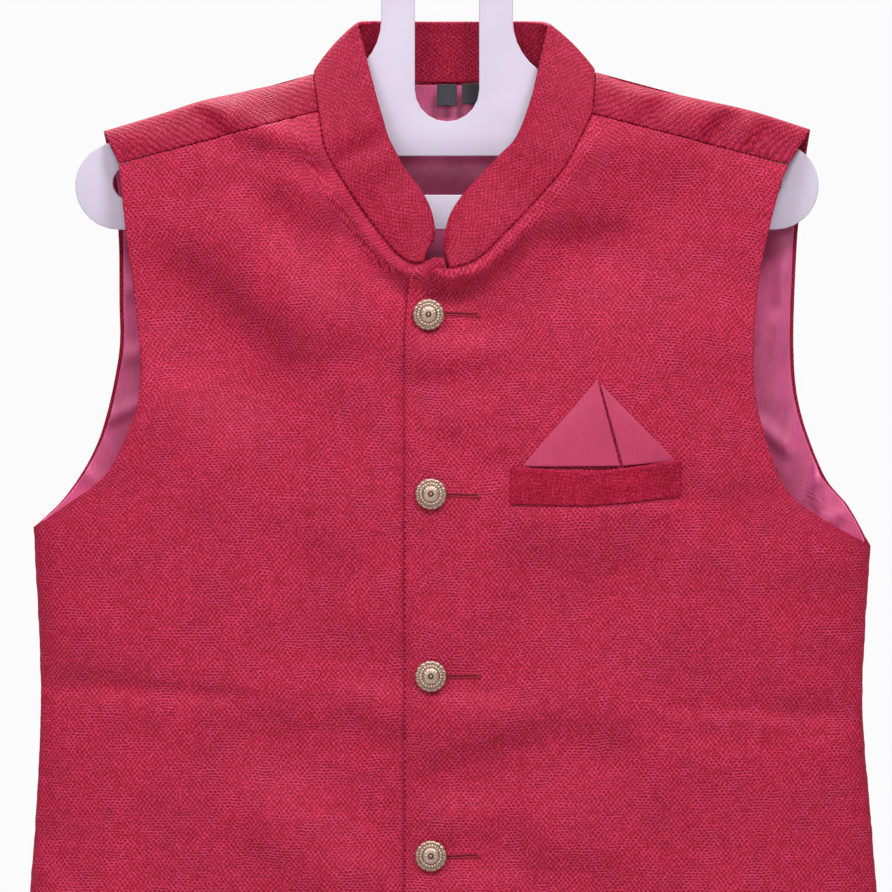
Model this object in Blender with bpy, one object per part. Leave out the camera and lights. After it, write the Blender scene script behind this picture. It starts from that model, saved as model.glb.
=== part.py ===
"""Nehru jacket hanging on a flat hanger.

Sizes are in millimetres and become metres in solid(). The origin is where a peg touches the inside of
the hanger's loop. +X is the wearer's left, -Y the front, +Z up. Every panel is a grid of rows: a row
starts at the neck or the centre and ends at the armhole or the side seam, on a form that stands a depth
away from the hanger's plane. A wall is the grid's points, moved along their normals.
"""
import math

import bmesh
import bpy
import numpy as np
from mathutils.bvhtree import BVHTree

MM = 0.001

# Thicknesses and gaps
SHELL = 1.6
LINING = 1.0
COLLAR = 3.0
SATIN_FOLD = 1.0
WELT = 1.8
TAB = 1.0
SEAM_GAP = 0.35
SIDE_GAP = 0.3
OVERLAP_GAP = 0.8
LINING_DEPTH = SHELL + SEAM_GAP

# Overall heights and the front edges
HEM_Z = -783.0
CENTRE_X = 4.0
LEFT_EDGE_X = -25.0
RIGHT_EDGE_X = 6.0
OVERLAP_FADE = (22.0, 48.0)
ARMPIT_Z = {-1: -360.0, 1: -371.0}

# Form of the body: height, half width to the wearer's right and left, depth in front and behind
BODY = (
    (-60.0, 244.5, 251.0, 20.0, 20.0),
    (-110.0, 244.5, 251.0, 23.0, 21.0),
    (-200.0, 244.5, 251.0, 28.0, 24.0),
    (-300.0, 244.5, 251.0, 31.0, 26.0),
    (-362.0, 244.5, 251.0, 32.0, 27.0),
    (-420.0, 241.5, 247.5, 32.0, 28.0),
    (-470.0, 240.5, 246.0, 31.0, 27.0),
    (-540.0, 244.0, 251.5, 30.0, 26.0),
    (-620.0, 250.5, 257.5, 29.5, 26.0),
    (-700.0, 254.5, 261.0, 30.0, 27.0),
    (-783.0, 256.0, 262.0, 31.0, 28.0),
)
SIDE_POWER = 2.6
RIDGE_REACH = 110.0

# Line of the shoulders over the hanger; between the neck points it is only a guide for the depth
RIDGE = (  # x, z
    (-262.0, -144.0),
    (-203.4, -125.8),
    (-168.8, -115.2),
    (-145.2, -107.6),
    (-115.8, -101.1),
    (-79.4, -91.6),
    (4.0, -59.0),
    (88.2, -90.6),
    (117.0, -99.4),
    (148.2, -106.4),
    (179.9, -113.5),
    (215.2, -124.7),
    (262.0, -140.0),
)

# Forward shoulder seams: neck end and armhole end
SHOULDER_SEAM = {  # side: (x, z), (x, z)
    -1: ((-75.9, -114.1), (-194.0, -145.2)),
    1: ((85.8, -115.8), (201.7, -145.8)),
}
SHOULDER_TIP_X = {-1: -203.4, 1: 215.2}

# Neckline and collar, from the centre front to the shoulder seam: seam point and the collar's top edge
NECK_FRONT = {  # side: seam x, seam z, top x, top y, top z
    -1: (
        (-13.5, -203.4, -9.3, -25.0, -192.0),
        (-21.0, -203.6, -7.6, -24.0, -183.0),
        (-30.0, -197.6, -10.2, -22.5, -171.0),
        (-41.7, -183.5, -16.5, -20.5, -159.4),
        (-51.7, -170.0, -24.5, -19.0, -148.5),
        (-62.9, -153.0, -32.0, -17.5, -135.5),
        (-71.7, -137.0, -37.2, -16.0, -121.5),
        (-75.9, -114.1, -42.3, -13.0, -103.0),
    ),
    1: (
        (3.4, -206.6, -0.4, -27.5, -196.0),
        (12.3, -204.6, -0.2, -26.0, -184.5),
        (21.8, -198.7, 2.6, -24.5, -174.5),
        (35.3, -185.2, 9.5, -22.0, -164.0),
        (46.5, -174.0, 19.0, -20.0, -152.8),
        (57.6, -161.7, 30.0, -18.0, -141.5),
        (68.8, -148.2, 39.5, -16.5, -132.5),
        (78.0, -132.0, 45.0, -15.0, -121.0),
        (85.8, -115.8, 50.5, -13.0, -104.0),
    ),
}
# The same from the shoulder line to the centre back
NECK_BACK = {
    -1: (
        (-79.4, -91.6, -52.6, 0.0, -62.5),
        (-70.0, -93.0, -49.0, 5.5, -60.6),
        (-52.0, -94.4, -38.0, 9.5, -60.0),
        (-24.0, -95.8, -18.0, 12.0, -60.0),
        (4.0, -96.4, 4.0, 12.5, -60.0),
    ),
    1: (
        (88.2, -90.6, 59.8, 0.0, -63.0),
        (78.0, -92.4, 56.0, 5.5, -60.8),
        (60.0, -94.2, 46.0, 9.5, -60.0),
        (32.0, -95.8, 26.0, 12.0, -60.0),
        (4.0, -96.4, 4.0, 12.5, -60.0),
    ),
}
# Rest of each front's top edge, past the end of the collar, and the top of its front edge
FRONT_TAB = {-1: ((-7.5, -201.6), (-1.8, -201.0)), 1: ((-8.0, -208.6), (LEFT_EDGE_X, -209.3))}
FRONT_EDGE = {
    -1: ((-1.8, -201.0), (RIGHT_EDGE_X, -230.0), (RIGHT_EDGE_X, ARMPIT_Z[-1])),
    1: ((LEFT_EDGE_X, -209.3), (LEFT_EDGE_X, ARMPIT_Z[1])),
}

# Armhole edges, from the shoulder down; the last row is the armpit, on the side seam
ARMHOLE_FRONT = {  # side: x, z
    -1: (
        (-194.0, -145.2),
        (-189.3, -187.6),
        (-184.0, -225.8),
        (-180.5, -266.0),
        (-184.0, -292.2),
        (-199.9, -326.9),
        (-223.4, -345.7),
        (-244.5, -360.0),
    ),
    1: (
        (201.7, -145.8),
        (195.8, -161.7),
        (185.2, -207.0),
        (181.1, -248.1),
        (182.9, -288.7),
        (198.7, -335.2),
        (220.5, -354.0),
        (250.9, -371.0),
    ),
}
ARMHOLE_BACK = {
    -1: (
        (-203.4, -125.8),
        (-199.0, -150.0),
        (-195.2, -187.6),
        (-194.6, -225.8),
        (-195.2, -259.3),
        (-206.4, -306.9),
        (-224.6, -339.3),
        (-244.5, -360.0),
    ),
    1: (
        (215.2, -124.7),
        (212.3, -146.4),
        (207.6, -195.8),
        (205.8, -254.0),
        (209.9, -291.1),
        (224.0, -329.3),
        (238.1, -347.5),
        (250.9, -371.0),
    ),
}

# Largest folds: ends of the fold, half width, and height above the form (negative is a trough)
FOLDS_FRONT = (  # x0, z0, x1, z1, half width, height
    (-140.0, -205.0, -62.0, -262.0, 26.0, -2.6),
    (-176.0, -212.0, -118.0, -292.0, 24.0, 2.2),
    (-112.0, -575.0, -46.0, -660.0, 26.0, 2.4),
    (70.0, -640.0, 96.0, -760.0, 30.0, -3.0),
    (172.0, -600.0, 190.0, -775.0, 30.0, 3.2),
    (-188.0, -610.0, -204.0, -775.0, 30.0, 3.0),
    (-118.0, -690.0, -126.0, -775.0, 28.0, -3.0),
)
FOLDS_BACK = (
    (-60.0, -130.0, 70.0, -134.0, 30.0, -2.0),
    (-150.0, -180.0, -80.0, -300.0, 30.0, 2.4),
    (150.0, -190.0, 96.0, -330.0, 30.0, 2.2),
    (-170.0, -560.0, -186.0, -770.0, 32.0, 3.0),
    (-60.0, -600.0, -66.0, -775.0, 34.0, -2.6),
    (84.0, -580.0, 92.0, -775.0, 34.0, 2.8),
    (186.0, -620.0, 196.0, -775.0, 28.0, -2.4),
)

# Rows and columns of the panels
NECK_STEPS = 6
TAB_STEPS = 1
EDGE_STEPS = 5
BELOW_STEPS = 12
BACK_NECK_STEPS = (0.02, 0.08, 0.2, 0.4, 0.65, 1.0)
BACK_ARM_STEPS = (0.006, 0.03, 0.08, 0.16, 0.26, 0.38)
WRAP_STEPS = (1.0, 0.45, 0.12, 0.0)
BACK_MIDDLE_STEPS = 6
COLUMNS = 11

# The lining uses the same rows and columns, without these at its edges
LINING_FIRST_COLUMN = 3
LINING_FIRST_ROW = 1
LINING_BACK_FIRST_ROW = len(WRAP_STEPS) + 2
LINING_ARM_INSET = 3.0
LINING_HEM_INSET = 20.0
LINING_NECK_INSET = 1.0

# Collar grid
COLLAR_ROWS = 4
COLLAR_BOW = 1.5
COLLAR_LIFT_AT_SHOULDER = 1.5

# Chest pocket on the left front: corners of the welt, and the square above it
WELT_TOP = ((37.6, -324.0), (137.6, -319.9))
WELT_BOTTOM = ((37.0, -346.3), (137.6, -341.6))
WELT_TOP_STAND_OFF = 2.0
WELT_GRID = (6, 2)
SQUARE_APEX = (88.8, -272.8)
SQUARE_BASE = ((45.3, -325.5), (132.9, -321.5))
SQUARE_TUCK = 3.0
SQUARE_GRID = 6
LAID_GAP = 0.5

# Buttons
BUTTON_COUNT = 5
BUTTON_X = -9.5
BUTTON_TOP_Z = -234.0
BUTTON_PITCH = 106.2
BUTTON_LOBES = 16
BUTTON_PROFILE = (  # radius, height off the cloth
    (0.0, 0.4),
    (7.4, 0.4),
    (9.0, 1.6),
    (9.25, 2.5),
    (8.3, 3.5),
    (5.4, 3.9),
    (4.6, 4.7),
    (1.6, 5.4),
    (1.1, 6.2),
    (0.0, 6.6),
)
BUTTON_LOBE_DEPTH = 0.35

# Woven tabs at the back neck: centre x, width, length
TABS = {"label_care": (0.0, 11.8, 13.0), "label_size": (14.8, 12.0, 12.0)}
TAB_TOP_Z = -97.4

# Hanger: a flat board with a loop head
BOARD = 4.0
LOOP_HALF_WIDTH = 19.0
HEAD_HALF_WIDTH = 39.0
SLOT_BOTTOM_Z = -120.0
FLARE_TOP_Z = -60.0
FLARE_RADIUS = 36.0
SHOULDER_SLOPE_DEG = 15.2
END_CENTRE = (194.0, -158.0)
END_RADIUS = 26.0
WINDOW = (-105.0, 105.0, -163.4, -140.5)
WINDOW_CORNER = 8.0
END_HOLE = (187.6, -156.4)
END_HOLE_RADIUS = 10.0

MATERIALS = {  # colour, roughness, metallic
    "cloth": ((0.43, 0.028, 0.072), 0.85, 0.0),
    "satin": ((0.50, 0.075, 0.16), 0.4, 0.0),
    "brass": ((0.40, 0.27, 0.15), 0.4, 1.0),
    "tab": ((0.06, 0.06, 0.07), 0.8, 0.0),
    "board": ((0.78, 0.70, 0.82), 0.45, 0.0),
}


def material(name):
    """Principled material of the table above, made once."""
    if name in bpy.data.materials:
        return bpy.data.materials[name]
    colour, roughness, metallic = MATERIALS[name]
    made = bpy.data.materials.new(name)
    made.use_nodes = True
    shader = made.node_tree.nodes["Principled BSDF"]
    shader.inputs["Base Color"].default_value = (*colour, 1.0)
    shader.inputs["Roughness"].default_value = roughness
    shader.inputs["Metallic"].default_value = metallic
    return made


def solid(name, vertices, faces, finish):
    """Object from points in millimetres and faces, as one closed body with its faces pointing out."""
    mesh = bpy.data.meshes.new(name)
    mesh.from_pydata([tuple(float(v) * MM for v in point) for point in vertices], [], faces)
    bm = bmesh.new()
    bm.from_mesh(mesh)
    bmesh.ops.remove_doubles(bm, verts=bm.verts, dist=0.000001)
    bmesh.ops.recalc_face_normals(bm, faces=bm.faces)
    bm.to_mesh(mesh)
    bm.free()
    mesh.shade_smooth()
    mesh.set_sharp_from_angle(angle=math.radians(40.0))
    mesh.materials.append(material(finish))
    made = bpy.data.objects.new(name, mesh)
    bpy.context.scene.collection.objects.link(made)
    return made


def dense(rows, steps=12):
    """Short steps along the smooth curve through the rows of a table."""
    points = np.array(rows, float)
    points = np.vstack([2 * points[0] - points[1], points, 2 * points[-1] - points[-2]])
    t = np.linspace(0.0, 1.0, steps, endpoint=False)[:, None]
    pieces = []
    for a, b, c, d in zip(points, points[1:], points[2:], points[3:]):
        pieces.append(b + 0.5 * t * (c - a + t * (2 * a - 5 * b + 4 * c - d + t * (3 * (b - c) + d - a))))
    pieces.append(points[-2:-1])
    return np.vstack(pieces)


def along(curve, fractions):
    """Points at these fractions of a curve's length."""
    lengths = np.concatenate([[0.0], np.cumsum(np.linalg.norm(np.diff(curve, axis=0), axis=1))])
    wanted = np.asarray(fractions) * lengths[-1]
    return np.stack([np.interp(wanted, lengths, column) for column in curve.T], axis=1)


BODY_CURVE = dense(BODY)[::-1]
RIDGE_CURVE = dense(RIDGE)


def body(z, column):
    """One column of the table BODY at the heights z."""
    return np.interp(z, BODY_CURVE[:, 0], BODY_CURVE[:, column])


def half_width(x, z):
    """Half width of the body on the side of x."""
    return np.where(x < 0.0, body(z, 1), body(z, 2))


def ridge(x):
    """Height of the shoulder line."""
    return np.interp(x, RIDGE_CURVE[:, 0], RIDGE_CURVE[:, 1])


def swell(x, z):
    """Share of the depth that the form has at x, z: none on the shoulder line and at the side."""
    across = np.clip(np.abs(x) / half_width(x, z), 0.0, 1.0)
    below = np.clip((ridge(x) - z) / RIDGE_REACH, 0.0, 1.0)
    return np.sqrt(1.0 - across**SIDE_POWER) * np.sqrt(1.0 - (1.0 - below) ** 2)


def folds(x, z, table):
    """Height of the folds of a table at x, z."""
    total = np.zeros(np.broadcast(x, z).shape)
    for x0, z0, x1, z1, width, height in table:
        dx, dz = x1 - x0, z1 - z0
        t = np.clip(((x - x0) * dx + (z - z0) * dz) / (dx * dx + dz * dz), 0.0, 1.0)
        away = (x - x0 - t * dx) ** 2 + (z - z0 - t * dz) ** 2
        total += height * np.exp(-away / width**2)
    return total


def cloth_y(x, z, face):
    """Outer surface of the cloth: face -1 is the front, 1 the back."""
    depth = body(z, 3 if face < 0 else 4)
    table = FOLDS_FRONT if face < 0 else FOLDS_BACK
    return face * (SIDE_GAP / 2 + (depth + folds(x, z, table)) * swell(x, z))


def overlap_raise(x):
    """How far the left front is lifted over the right one, near the centre."""
    near, far = OVERLAP_FADE
    t = np.clip((far - x) / (far - near), 0.0, 1.0)
    return (SHELL + OVERLAP_GAP) * t * t * (3.0 - 2.0 * t)


def spread(columns, bunching):
    """Column positions from 0 to 1: even, or drawn towards the side seam where the form turns in."""
    u = np.linspace(0.0, 1.0, columns + 1)
    return (1.0 - bunching) * u + bunching * np.sin(u * math.pi / 2)


def grid_between(inner, outer, columns, face):
    """Grid of points on the form, row by row, from inner edge points to outer edge points."""
    rows = []
    for (x0, z0), (x1, z1) in zip(inner, outer):
        reach = abs(x1) / half_width(np.float64(x1), np.float64(z1))
        c = spread(columns, np.clip((reach - 0.75) / 0.25, 0.0, 1.0))
        x = x0 + (x1 - x0) * c
        z = z0 + (z1 - z0) * c
        rows.append(np.stack([x, cloth_y(x, z, face), z], axis=1))
    return np.array(rows)


def unit(vectors):
    """Vectors of length one."""
    return vectors / np.maximum(np.linalg.norm(vectors, axis=-1, keepdims=True), 1e-9)


def tangents(grid, axis):
    """Direction of the grid lines along an axis, at every point."""
    steps = unit(np.diff(grid, axis=axis))
    first = np.take(steps, [0], axis=axis)
    last = np.take(steps, [-1], axis=axis)
    before = np.concatenate([first, steps], axis=axis)
    after = np.concatenate([steps, last], axis=axis)
    return unit(before + after)


def normals(grid, side, face):
    """Outward normals of a panel grid, turned straight out on the side seam, where walls meet end to end."""
    found = unit(np.cross(tangents(grid, 0), tangents(grid, 1))) * -side * face
    on_seam = np.abs(grid[:, -1, 1]) <= SIDE_GAP / 2 + 0.01
    found[on_seam, -1, 1] = 0.0
    return unit(found)


def wall_faces(rows, columns, open_rows=()):
    """Faces of a wall whose outer grid comes first and whose inner grid follows.

    Both skins are split along the same diagonals, so walls on one grid stay parallel. The first column
    has no rim in open_rows, where another half of the same wall joins it.
    """
    count = rows * columns
    faces = []
    for r in range(rows - 1):
        for c in range(columns - 1):
            a = r * columns + c
            for corners in ((a, a + 1, a + columns + 1), (a, a + columns + 1, a + columns)):
                faces.append(corners)
                faces.append(tuple(count + k for k in reversed(corners)))
    for c in range(columns - 1):
        for a in (c, (rows - 1) * columns + c):
            faces.append((a, a + 1, count + a + 1, count + a))
    for r in range(rows - 1):
        edges = [r * columns + columns - 1]
        if r not in open_rows:
            edges.append(r * columns)
        for a in edges:
            faces.append((a, a + columns, count + a + columns, count + a))
    return faces


def wall(name, grid, found, outer, thickness, finish):
    """Solid of the grid's points moved in by outer, and by outer plus the thickness."""
    rows, columns, _ = grid.shape
    skin = grid - found * outer
    under = grid - found * (outer + thickness)
    points = np.vstack([skin.reshape(-1, 3), under.reshape(-1, 3)])
    return solid(name, points, wall_faces(rows, columns), finish)


def armhole_and_side(side, table, fractions):
    """Outer edge of a panel: the armhole at these fractions of its length, then down the side seam."""
    arm = along(dense(table[side]), fractions)[:-1]
    z = np.linspace(ARMPIT_Z[side], HEM_Z, BELOW_STEPS + 1)
    return np.vstack([arm, np.stack([side * body(z, 1 if side < 0 else 2), z], axis=1)])


def straight_down(x, z_from, z_to, count):
    """Points down a straight edge."""
    z = np.linspace(z_from, z_to, count + 1)[1:]
    return np.stack([np.full(count, x), z], axis=1)


def front_neck(side):
    """Seam and top edge of the collar along one front, from its front end to the shoulder seam."""
    return along(dense(NECK_FRONT[side]), np.linspace(0.0, 1.0, NECK_STEPS + 1))


def back_neck(side):
    """Seam and top edge of the collar behind, from the shoulder line to the centre back."""
    return along(dense(NECK_BACK[side]), np.concatenate([[0.0], BACK_NECK_STEPS]))


def front_grid(side):
    """Grid of one front, from the shoulder seam to the hem."""
    neck = front_neck(side)[::-1, :2].copy()
    tab = along(np.vstack([neck[-1:], FRONT_TAB[side]]), np.linspace(0.0, 1.0, TAB_STEPS + 1))[1:]
    edge = along(np.array(FRONT_EDGE[side]), np.linspace(0.0, 1.0, EDGE_STEPS + 1))[1:]
    inner = np.vstack([neck, tab, edge, straight_down(edge[-1, 0], ARMPIT_Z[side], HEM_Z, BELOW_STEPS)])
    upper = NECK_STEPS + TAB_STEPS + EDGE_STEPS
    outer = armhole_and_side(side, ARMHOLE_FRONT, np.linspace(0.0, 1.0, upper + 1))
    inner[0, 1] -= SEAM_GAP
    outer[0, 1] -= SEAM_GAP
    return grid_between(inner, outer, COLUMNS, -1)


def build_front(name, side):
    """One front; the left one is lifted over the right one at the centre."""
    grid = front_grid(side)
    if side > 0:
        grid[:, :, 1] -= overlap_raise(grid[:, :, 0])
    return wall(name, grid, normals(grid, side, -1), 0.0, SHELL, "cloth")


def wrap_grid(side):
    """Rows of the back that come over the shoulder line, from the forward seam to the line itself."""
    (neck_x, neck_z), (arm_x, arm_z) = SHOULDER_SEAM[side]
    rows = []
    for step in WRAP_STEPS:
        start = NECK_BACK[side][0][0] + (neck_x - NECK_BACK[side][0][0]) * step
        end = SHOULDER_TIP_X[side] + (arm_x - SHOULDER_TIP_X[side]) * step
        x = start + (end - start) * spread(COLUMNS, 0.0)
        seam_z = neck_z + (arm_z - neck_z) * (x - neck_x) / (arm_x - neck_x)
        z = ridge(x) - step * (ridge(x) - seam_z)
        y = cloth_y(x, z, -1) if step > 0.0 else np.zeros_like(x)
        rows.append(np.stack([x, y, z], axis=1))
    return np.array(rows)


def back_half_grid(side):
    """Grid of half of the back, from the forward shoulder seam over the shoulder to the hem."""
    neck = back_neck(side)[1:, :2]
    lower_steps = np.linspace(BACK_ARM_STEPS[-1], 1.0, BACK_MIDDLE_STEPS + 1)[1:]
    outer = armhole_and_side(side, ARMHOLE_BACK, np.concatenate([BACK_ARM_STEPS, lower_steps]))
    inner = np.vstack([
        neck,
        straight_down(CENTRE_X, neck[-1, 1], ARMPIT_Z[1], BACK_MIDDLE_STEPS),
        straight_down(CENTRE_X, ARMPIT_Z[1], HEM_Z, BELOW_STEPS),
    ])
    return np.concatenate([wrap_grid(side), grid_between(inner, outer, COLUMNS, 1)])


def joined_halves(name, halves, found, joined_from, outer, thickness, finish):
    """Solid of two half grids that share their first column from row joined_from down."""
    shared = unit(found[-1][joined_from:, 0] + found[1][joined_from:, 0])
    points = []
    faces = []
    for side, grid in halves.items():
        found[side][joined_from:, 0] = shared
        rows, columns, _ = grid.shape
        skin = grid - found[side] * outer
        under = grid - found[side] * (outer + thickness)
        base = sum(len(block) for block in points)
        points.append(np.vstack([skin.reshape(-1, 3), under.reshape(-1, 3)]))
        half = wall_faces(rows, columns, open_rows=range(joined_from, rows - 1))
        faces.extend(tuple(base + k for k in corners) for corners in half)
    return solid(name, np.vstack(points), faces, finish)


def build_back():
    """The back, with its two shoulder extensions."""
    halves = {side: back_half_grid(side) for side in (-1, 1)}
    found = {side: normals(grid, side, 1) for side, grid in halves.items()}
    joined_from = len(WRAP_STEPS) + len(BACK_NECK_STEPS) - 1
    return joined_halves("back", halves, found, joined_from, 0.0, SHELL, "cloth")


def pull_in(grid, found, line, towards, distance):
    """Move one line of a grid and its normals towards the next line, by a distance, within the same facets."""
    step = grid[towards] - grid[line]
    share = distance / np.linalg.norm(step, axis=-1, keepdims=True)
    grid[line] += step * share
    found[line] = unit(found[line] + (found[towards] - found[line]) * share)


def build_front_lining(name, side):
    """Lining of one front, on the front's own rows and columns, from the facing to the side seam."""
    grid = front_grid(side)
    found = normals(grid, side, -1)
    armpit = NECK_STEPS + TAB_STEPS + EDGE_STEPS
    pull_in(grid, found, (slice(0, armpit), -1), (slice(0, armpit), -2), LINING_ARM_INSET)
    pull_in(grid, found, -1, -2, LINING_HEM_INSET)
    kept = (slice(LINING_FIRST_ROW, None), slice(LINING_FIRST_COLUMN, None))
    return wall(name, grid[kept], found[kept], LINING_DEPTH, LINING, "satin")


def build_back_lining():
    """Lining of the back, on the back's own rows and columns."""
    halves = {}
    found = {}
    armpit = len(WRAP_STEPS) + len(BACK_NECK_STEPS) + BACK_MIDDLE_STEPS - 1
    joined_from = len(WRAP_STEPS) + len(BACK_NECK_STEPS) - 1
    for side in (-1, 1):
        grid = back_half_grid(side)
        out = normals(grid, side, 1)
        pull_in(grid, out, (slice(0, armpit), -1), (slice(0, armpit), -2), LINING_ARM_INSET)
        pull_in(grid, out, -1, -2, LINING_HEM_INSET)
        grid[:joined_from + 1, 0, 2] -= LINING_NECK_INSET
        halves[side] = grid[LINING_BACK_FIRST_ROW:]
        found[side] = out[LINING_BACK_FIRST_ROW:]
    first_joined = joined_from - LINING_BACK_FIRST_ROW
    return joined_halves("lining_back", halves, found, first_joined, LINING_DEPTH, LINING, "satin")


def collar_half(side):
    """Seam and top edge of half of the collar, from its front end to the centre back, as x, y, z, x, y, z."""
    front = front_neck(side)
    back = back_neck(side)
    wrap = wrap_grid(side)[1:-1, 0]
    tops = front[-1, 2:] + (back[0, 2:] - front[-1, 2:]) * (1.0 - np.array(WRAP_STEPS[1:-1]))[:, None]
    front_y = cloth_y(front[:, 0], front[:, 1], -1) - (overlap_raise(front[:, 0]) if side > 0 else 0.0)
    back_y = cloth_y(back[:, 0], back[:, 1], 1)
    back_y[0] = 0.0
    return np.vstack([
        np.column_stack([front[:, 0], front_y, front[:, 1:]]),
        np.column_stack([wrap, tops]),
        np.column_stack([back[:, 0], back_y, back[:, 1:]]),
    ])


def build_collar():
    """Stand collar: a bowed band between the neck seam and its top edge."""
    right = collar_half(-1)
    left = collar_half(1)[::-1]
    middle = len(right) - 1
    band = np.vstack([right, left[1:]])
    seam, top = band[:, :3], band[:, 3:]
    rise = unit(top - seam)
    run = tangents(seam[:, None, :], 0)[:, 0, :]
    out = unit(np.cross(run, rise))
    out *= np.sign(out[middle, 1])
    turned = 1.0 - np.abs(out[:, 1:2])
    start = seam + rise * (SEAM_GAP + COLLAR_LIFT_AT_SHOULDER * turned) - out * SHELL / 2
    steps = np.linspace(0.0, 1.0, COLLAR_ROWS + 1)[:, None, None]
    grid = start + (top - start) * steps + out * COLLAR_BOW * 4.0 * steps * (1.0 - steps)
    found = unit(np.cross(tangents(grid, 1), tangents(grid, 0)))
    found *= np.sign(found[0, middle, 1])
    return wall("collar", grid, found, -COLLAR / 2, COLLAR, "cloth")


def surface_probe(panel):
    """Function that gives the height of a panel's outer face at x, z, read from its own mesh."""
    tree = BVHTree.FromPolygons([v.co for v in panel.data.vertices],
                                [tuple(p.vertices) for p in panel.data.polygons])

    def probe(x, z):
        hit = tree.ray_cast((x * MM, -1.0, z * MM), (0.0, 1.0, 0.0))[0]
        return hit[1] / MM
    return probe


def patch_on(name, points, probe, under, over, finish):
    """Solid that lies on a panel: a grid of x, z points, from under to over above the panel's face."""
    rows, columns = len(points), len(points[0])
    skin = []
    base = []
    for r in range(rows):
        for c in range(columns):
            x, z = points[r][c]
            y = probe(x, z)
            skin.append((x, y - over[r], z))
            base.append((x, y - under[r], z))
    return solid(name, skin + base, wall_faces(rows, columns), finish)


def corner_grid(top, bottom, columns, rows):
    """Points between two edges, each given by its two ends, from the top edge down."""
    return [[(
        (1 - v) * ((1 - u) * top[0][0] + u * top[1][0]) + v * ((1 - u) * bottom[0][0] + u * bottom[1][0]),
        (1 - v) * ((1 - u) * top[0][1] + u * top[1][1]) + v * ((1 - u) * bottom[0][1] + u * bottom[1][1]),
    ) for u in np.linspace(0.0, 1.0, columns + 1)] for v in np.linspace(0.0, 1.0, rows + 1)]


def build_pocket(probe):
    """Welt of the chest pocket, and the folded square that stands out of it."""
    columns, rows = WELT_GRID
    stand_off = [LAID_GAP + WELT_TOP_STAND_OFF * (1.0 - k / rows) for k in range(rows + 1)]
    grid = corner_grid(WELT_TOP, WELT_BOTTOM, columns, rows)
    over = [value + WELT for value in stand_off]
    patch_on("pocket_welt", grid, probe, stand_off, over, "cloth")

    tip = ((SQUARE_APEX[0] - 0.6, SQUARE_APEX[1]), (SQUARE_APEX[0] + 0.6, SQUARE_APEX[1]))
    tucked = tuple((x, z - SQUARE_TUCK) for x, z in SQUARE_BASE)
    triangle = corner_grid(tip, SQUARE_BASE, SQUARE_GRID, SQUARE_GRID)
    triangle += corner_grid(SQUARE_BASE, tucked, SQUARE_GRID, 1)[1:]
    under = [LAID_GAP] * len(triangle)
    over = [LAID_GAP + SATIN_FOLD] * len(triangle)
    patch_on("pocket_square", triangle, probe, under, over, "satin")


def build_button(number, probe):
    """Cast button with a scalloped rim and a domed face."""
    z = BUTTON_TOP_Z - BUTTON_PITCH * (number - 1)
    ground = min(probe(BUTTON_X + dx, z + dz) for dx in (-7.0, 0.0, 7.0) for dz in (-7.0, 0.0, 7.0))
    sides = 2 * BUTTON_LOBES
    points = []
    for radius, height in BUTTON_PROFILE[1:-1]:
        for k in range(sides):
            rim = BUTTON_LOBE_DEPTH * (k % 2) if radius > 8.0 else 0.0
            angle = 2.0 * math.pi * k / sides
            points.append((BUTTON_X + (radius - rim) * math.cos(angle), ground - height,
                           z + (radius - rim) * math.sin(angle)))
    rings = len(BUTTON_PROFILE) - 2
    faces = []
    for ring in range(rings - 1):
        for k in range(sides):
            a, b = ring * sides + k, ring * sides + (k + 1) % sides
            faces.append((a, b, b + sides, a + sides))
    points.append((BUTTON_X, ground - BUTTON_PROFILE[0][1], z))
    points.append((BUTTON_X, ground - BUTTON_PROFILE[-1][1], z))
    for k in range(sides):
        faces.append((k, (k + 1) % sides, rings * sides))
        last = (rings - 1) * sides
        faces.append((last + k, last + (k + 1) % sides, rings * sides + 1))
    return solid(f"button_{number}", points, faces, "brass")


def build_tabs():
    """Woven tabs that hang from the back neck seam, in front of the lining."""
    for name, (middle, width, length) in TABS.items():
        xs = (middle - width / 2, middle, middle + width / 2)
        rows = []
        for k in range(3):
            z = TAB_TOP_Z - length * k / 2
            y = min(float(cloth_y(np.float64(x), np.float64(z), 1)) for x in xs)
            y -= LINING_DEPTH + LINING + 3 * SEAM_GAP
            rows.append([(x, y, z) for x in xs])
        grid = np.array(rows)
        away = np.zeros_like(grid)
        away[:, :, 1] = 1.0
        wall(name, grid, away, 0.0, TAB, "tab")


def arc(centre, radius, start_deg, end_deg, count):
    """Points of an arc in the x, z plane."""
    angles = np.radians(np.linspace(start_deg, end_deg, count + 1))
    return [(centre[0] + radius * math.cos(a), centre[1] + radius * math.sin(a)) for a in angles]


def plate(name, outline, thickness, finish="board"):
    """Flat solid of an x, z outline, centred on the hanger's plane."""
    count = len(outline)
    points = [(x, y, z) for y in (-thickness / 2, thickness / 2) for x, z in outline]
    faces = [tuple(range(count)), tuple(range(2 * count - 1, count - 1, -1))]
    for k in range(count):
        after = (k + 1) % count
        faces.append((k, after, count + after, count + k))
    return solid(name, points, faces, finish)


def hanger_outline():
    """Half outline from the top of the loop to the middle of the lower bar, and its mirror image."""
    loop_centre = (0.0, -LOOP_HALF_WIDTH)
    slope = 90.0 - SHOULDER_SLOPE_DEG
    flare_centre = (HEAD_HALF_WIDTH + FLARE_RADIUS, FLARE_TOP_Z)
    half = arc(loop_centre, HEAD_HALF_WIDTH, 90.0, 0.0, 9)
    half += arc(flare_centre, FLARE_RADIUS, 180.0, 180.0 + slope, 7)
    half += arc(END_CENTRE, END_RADIUS, slope, -90.0, 12)
    mirrored = [(-x, z) for x, z in reversed(half[1:])]
    return half + mirrored


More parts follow.
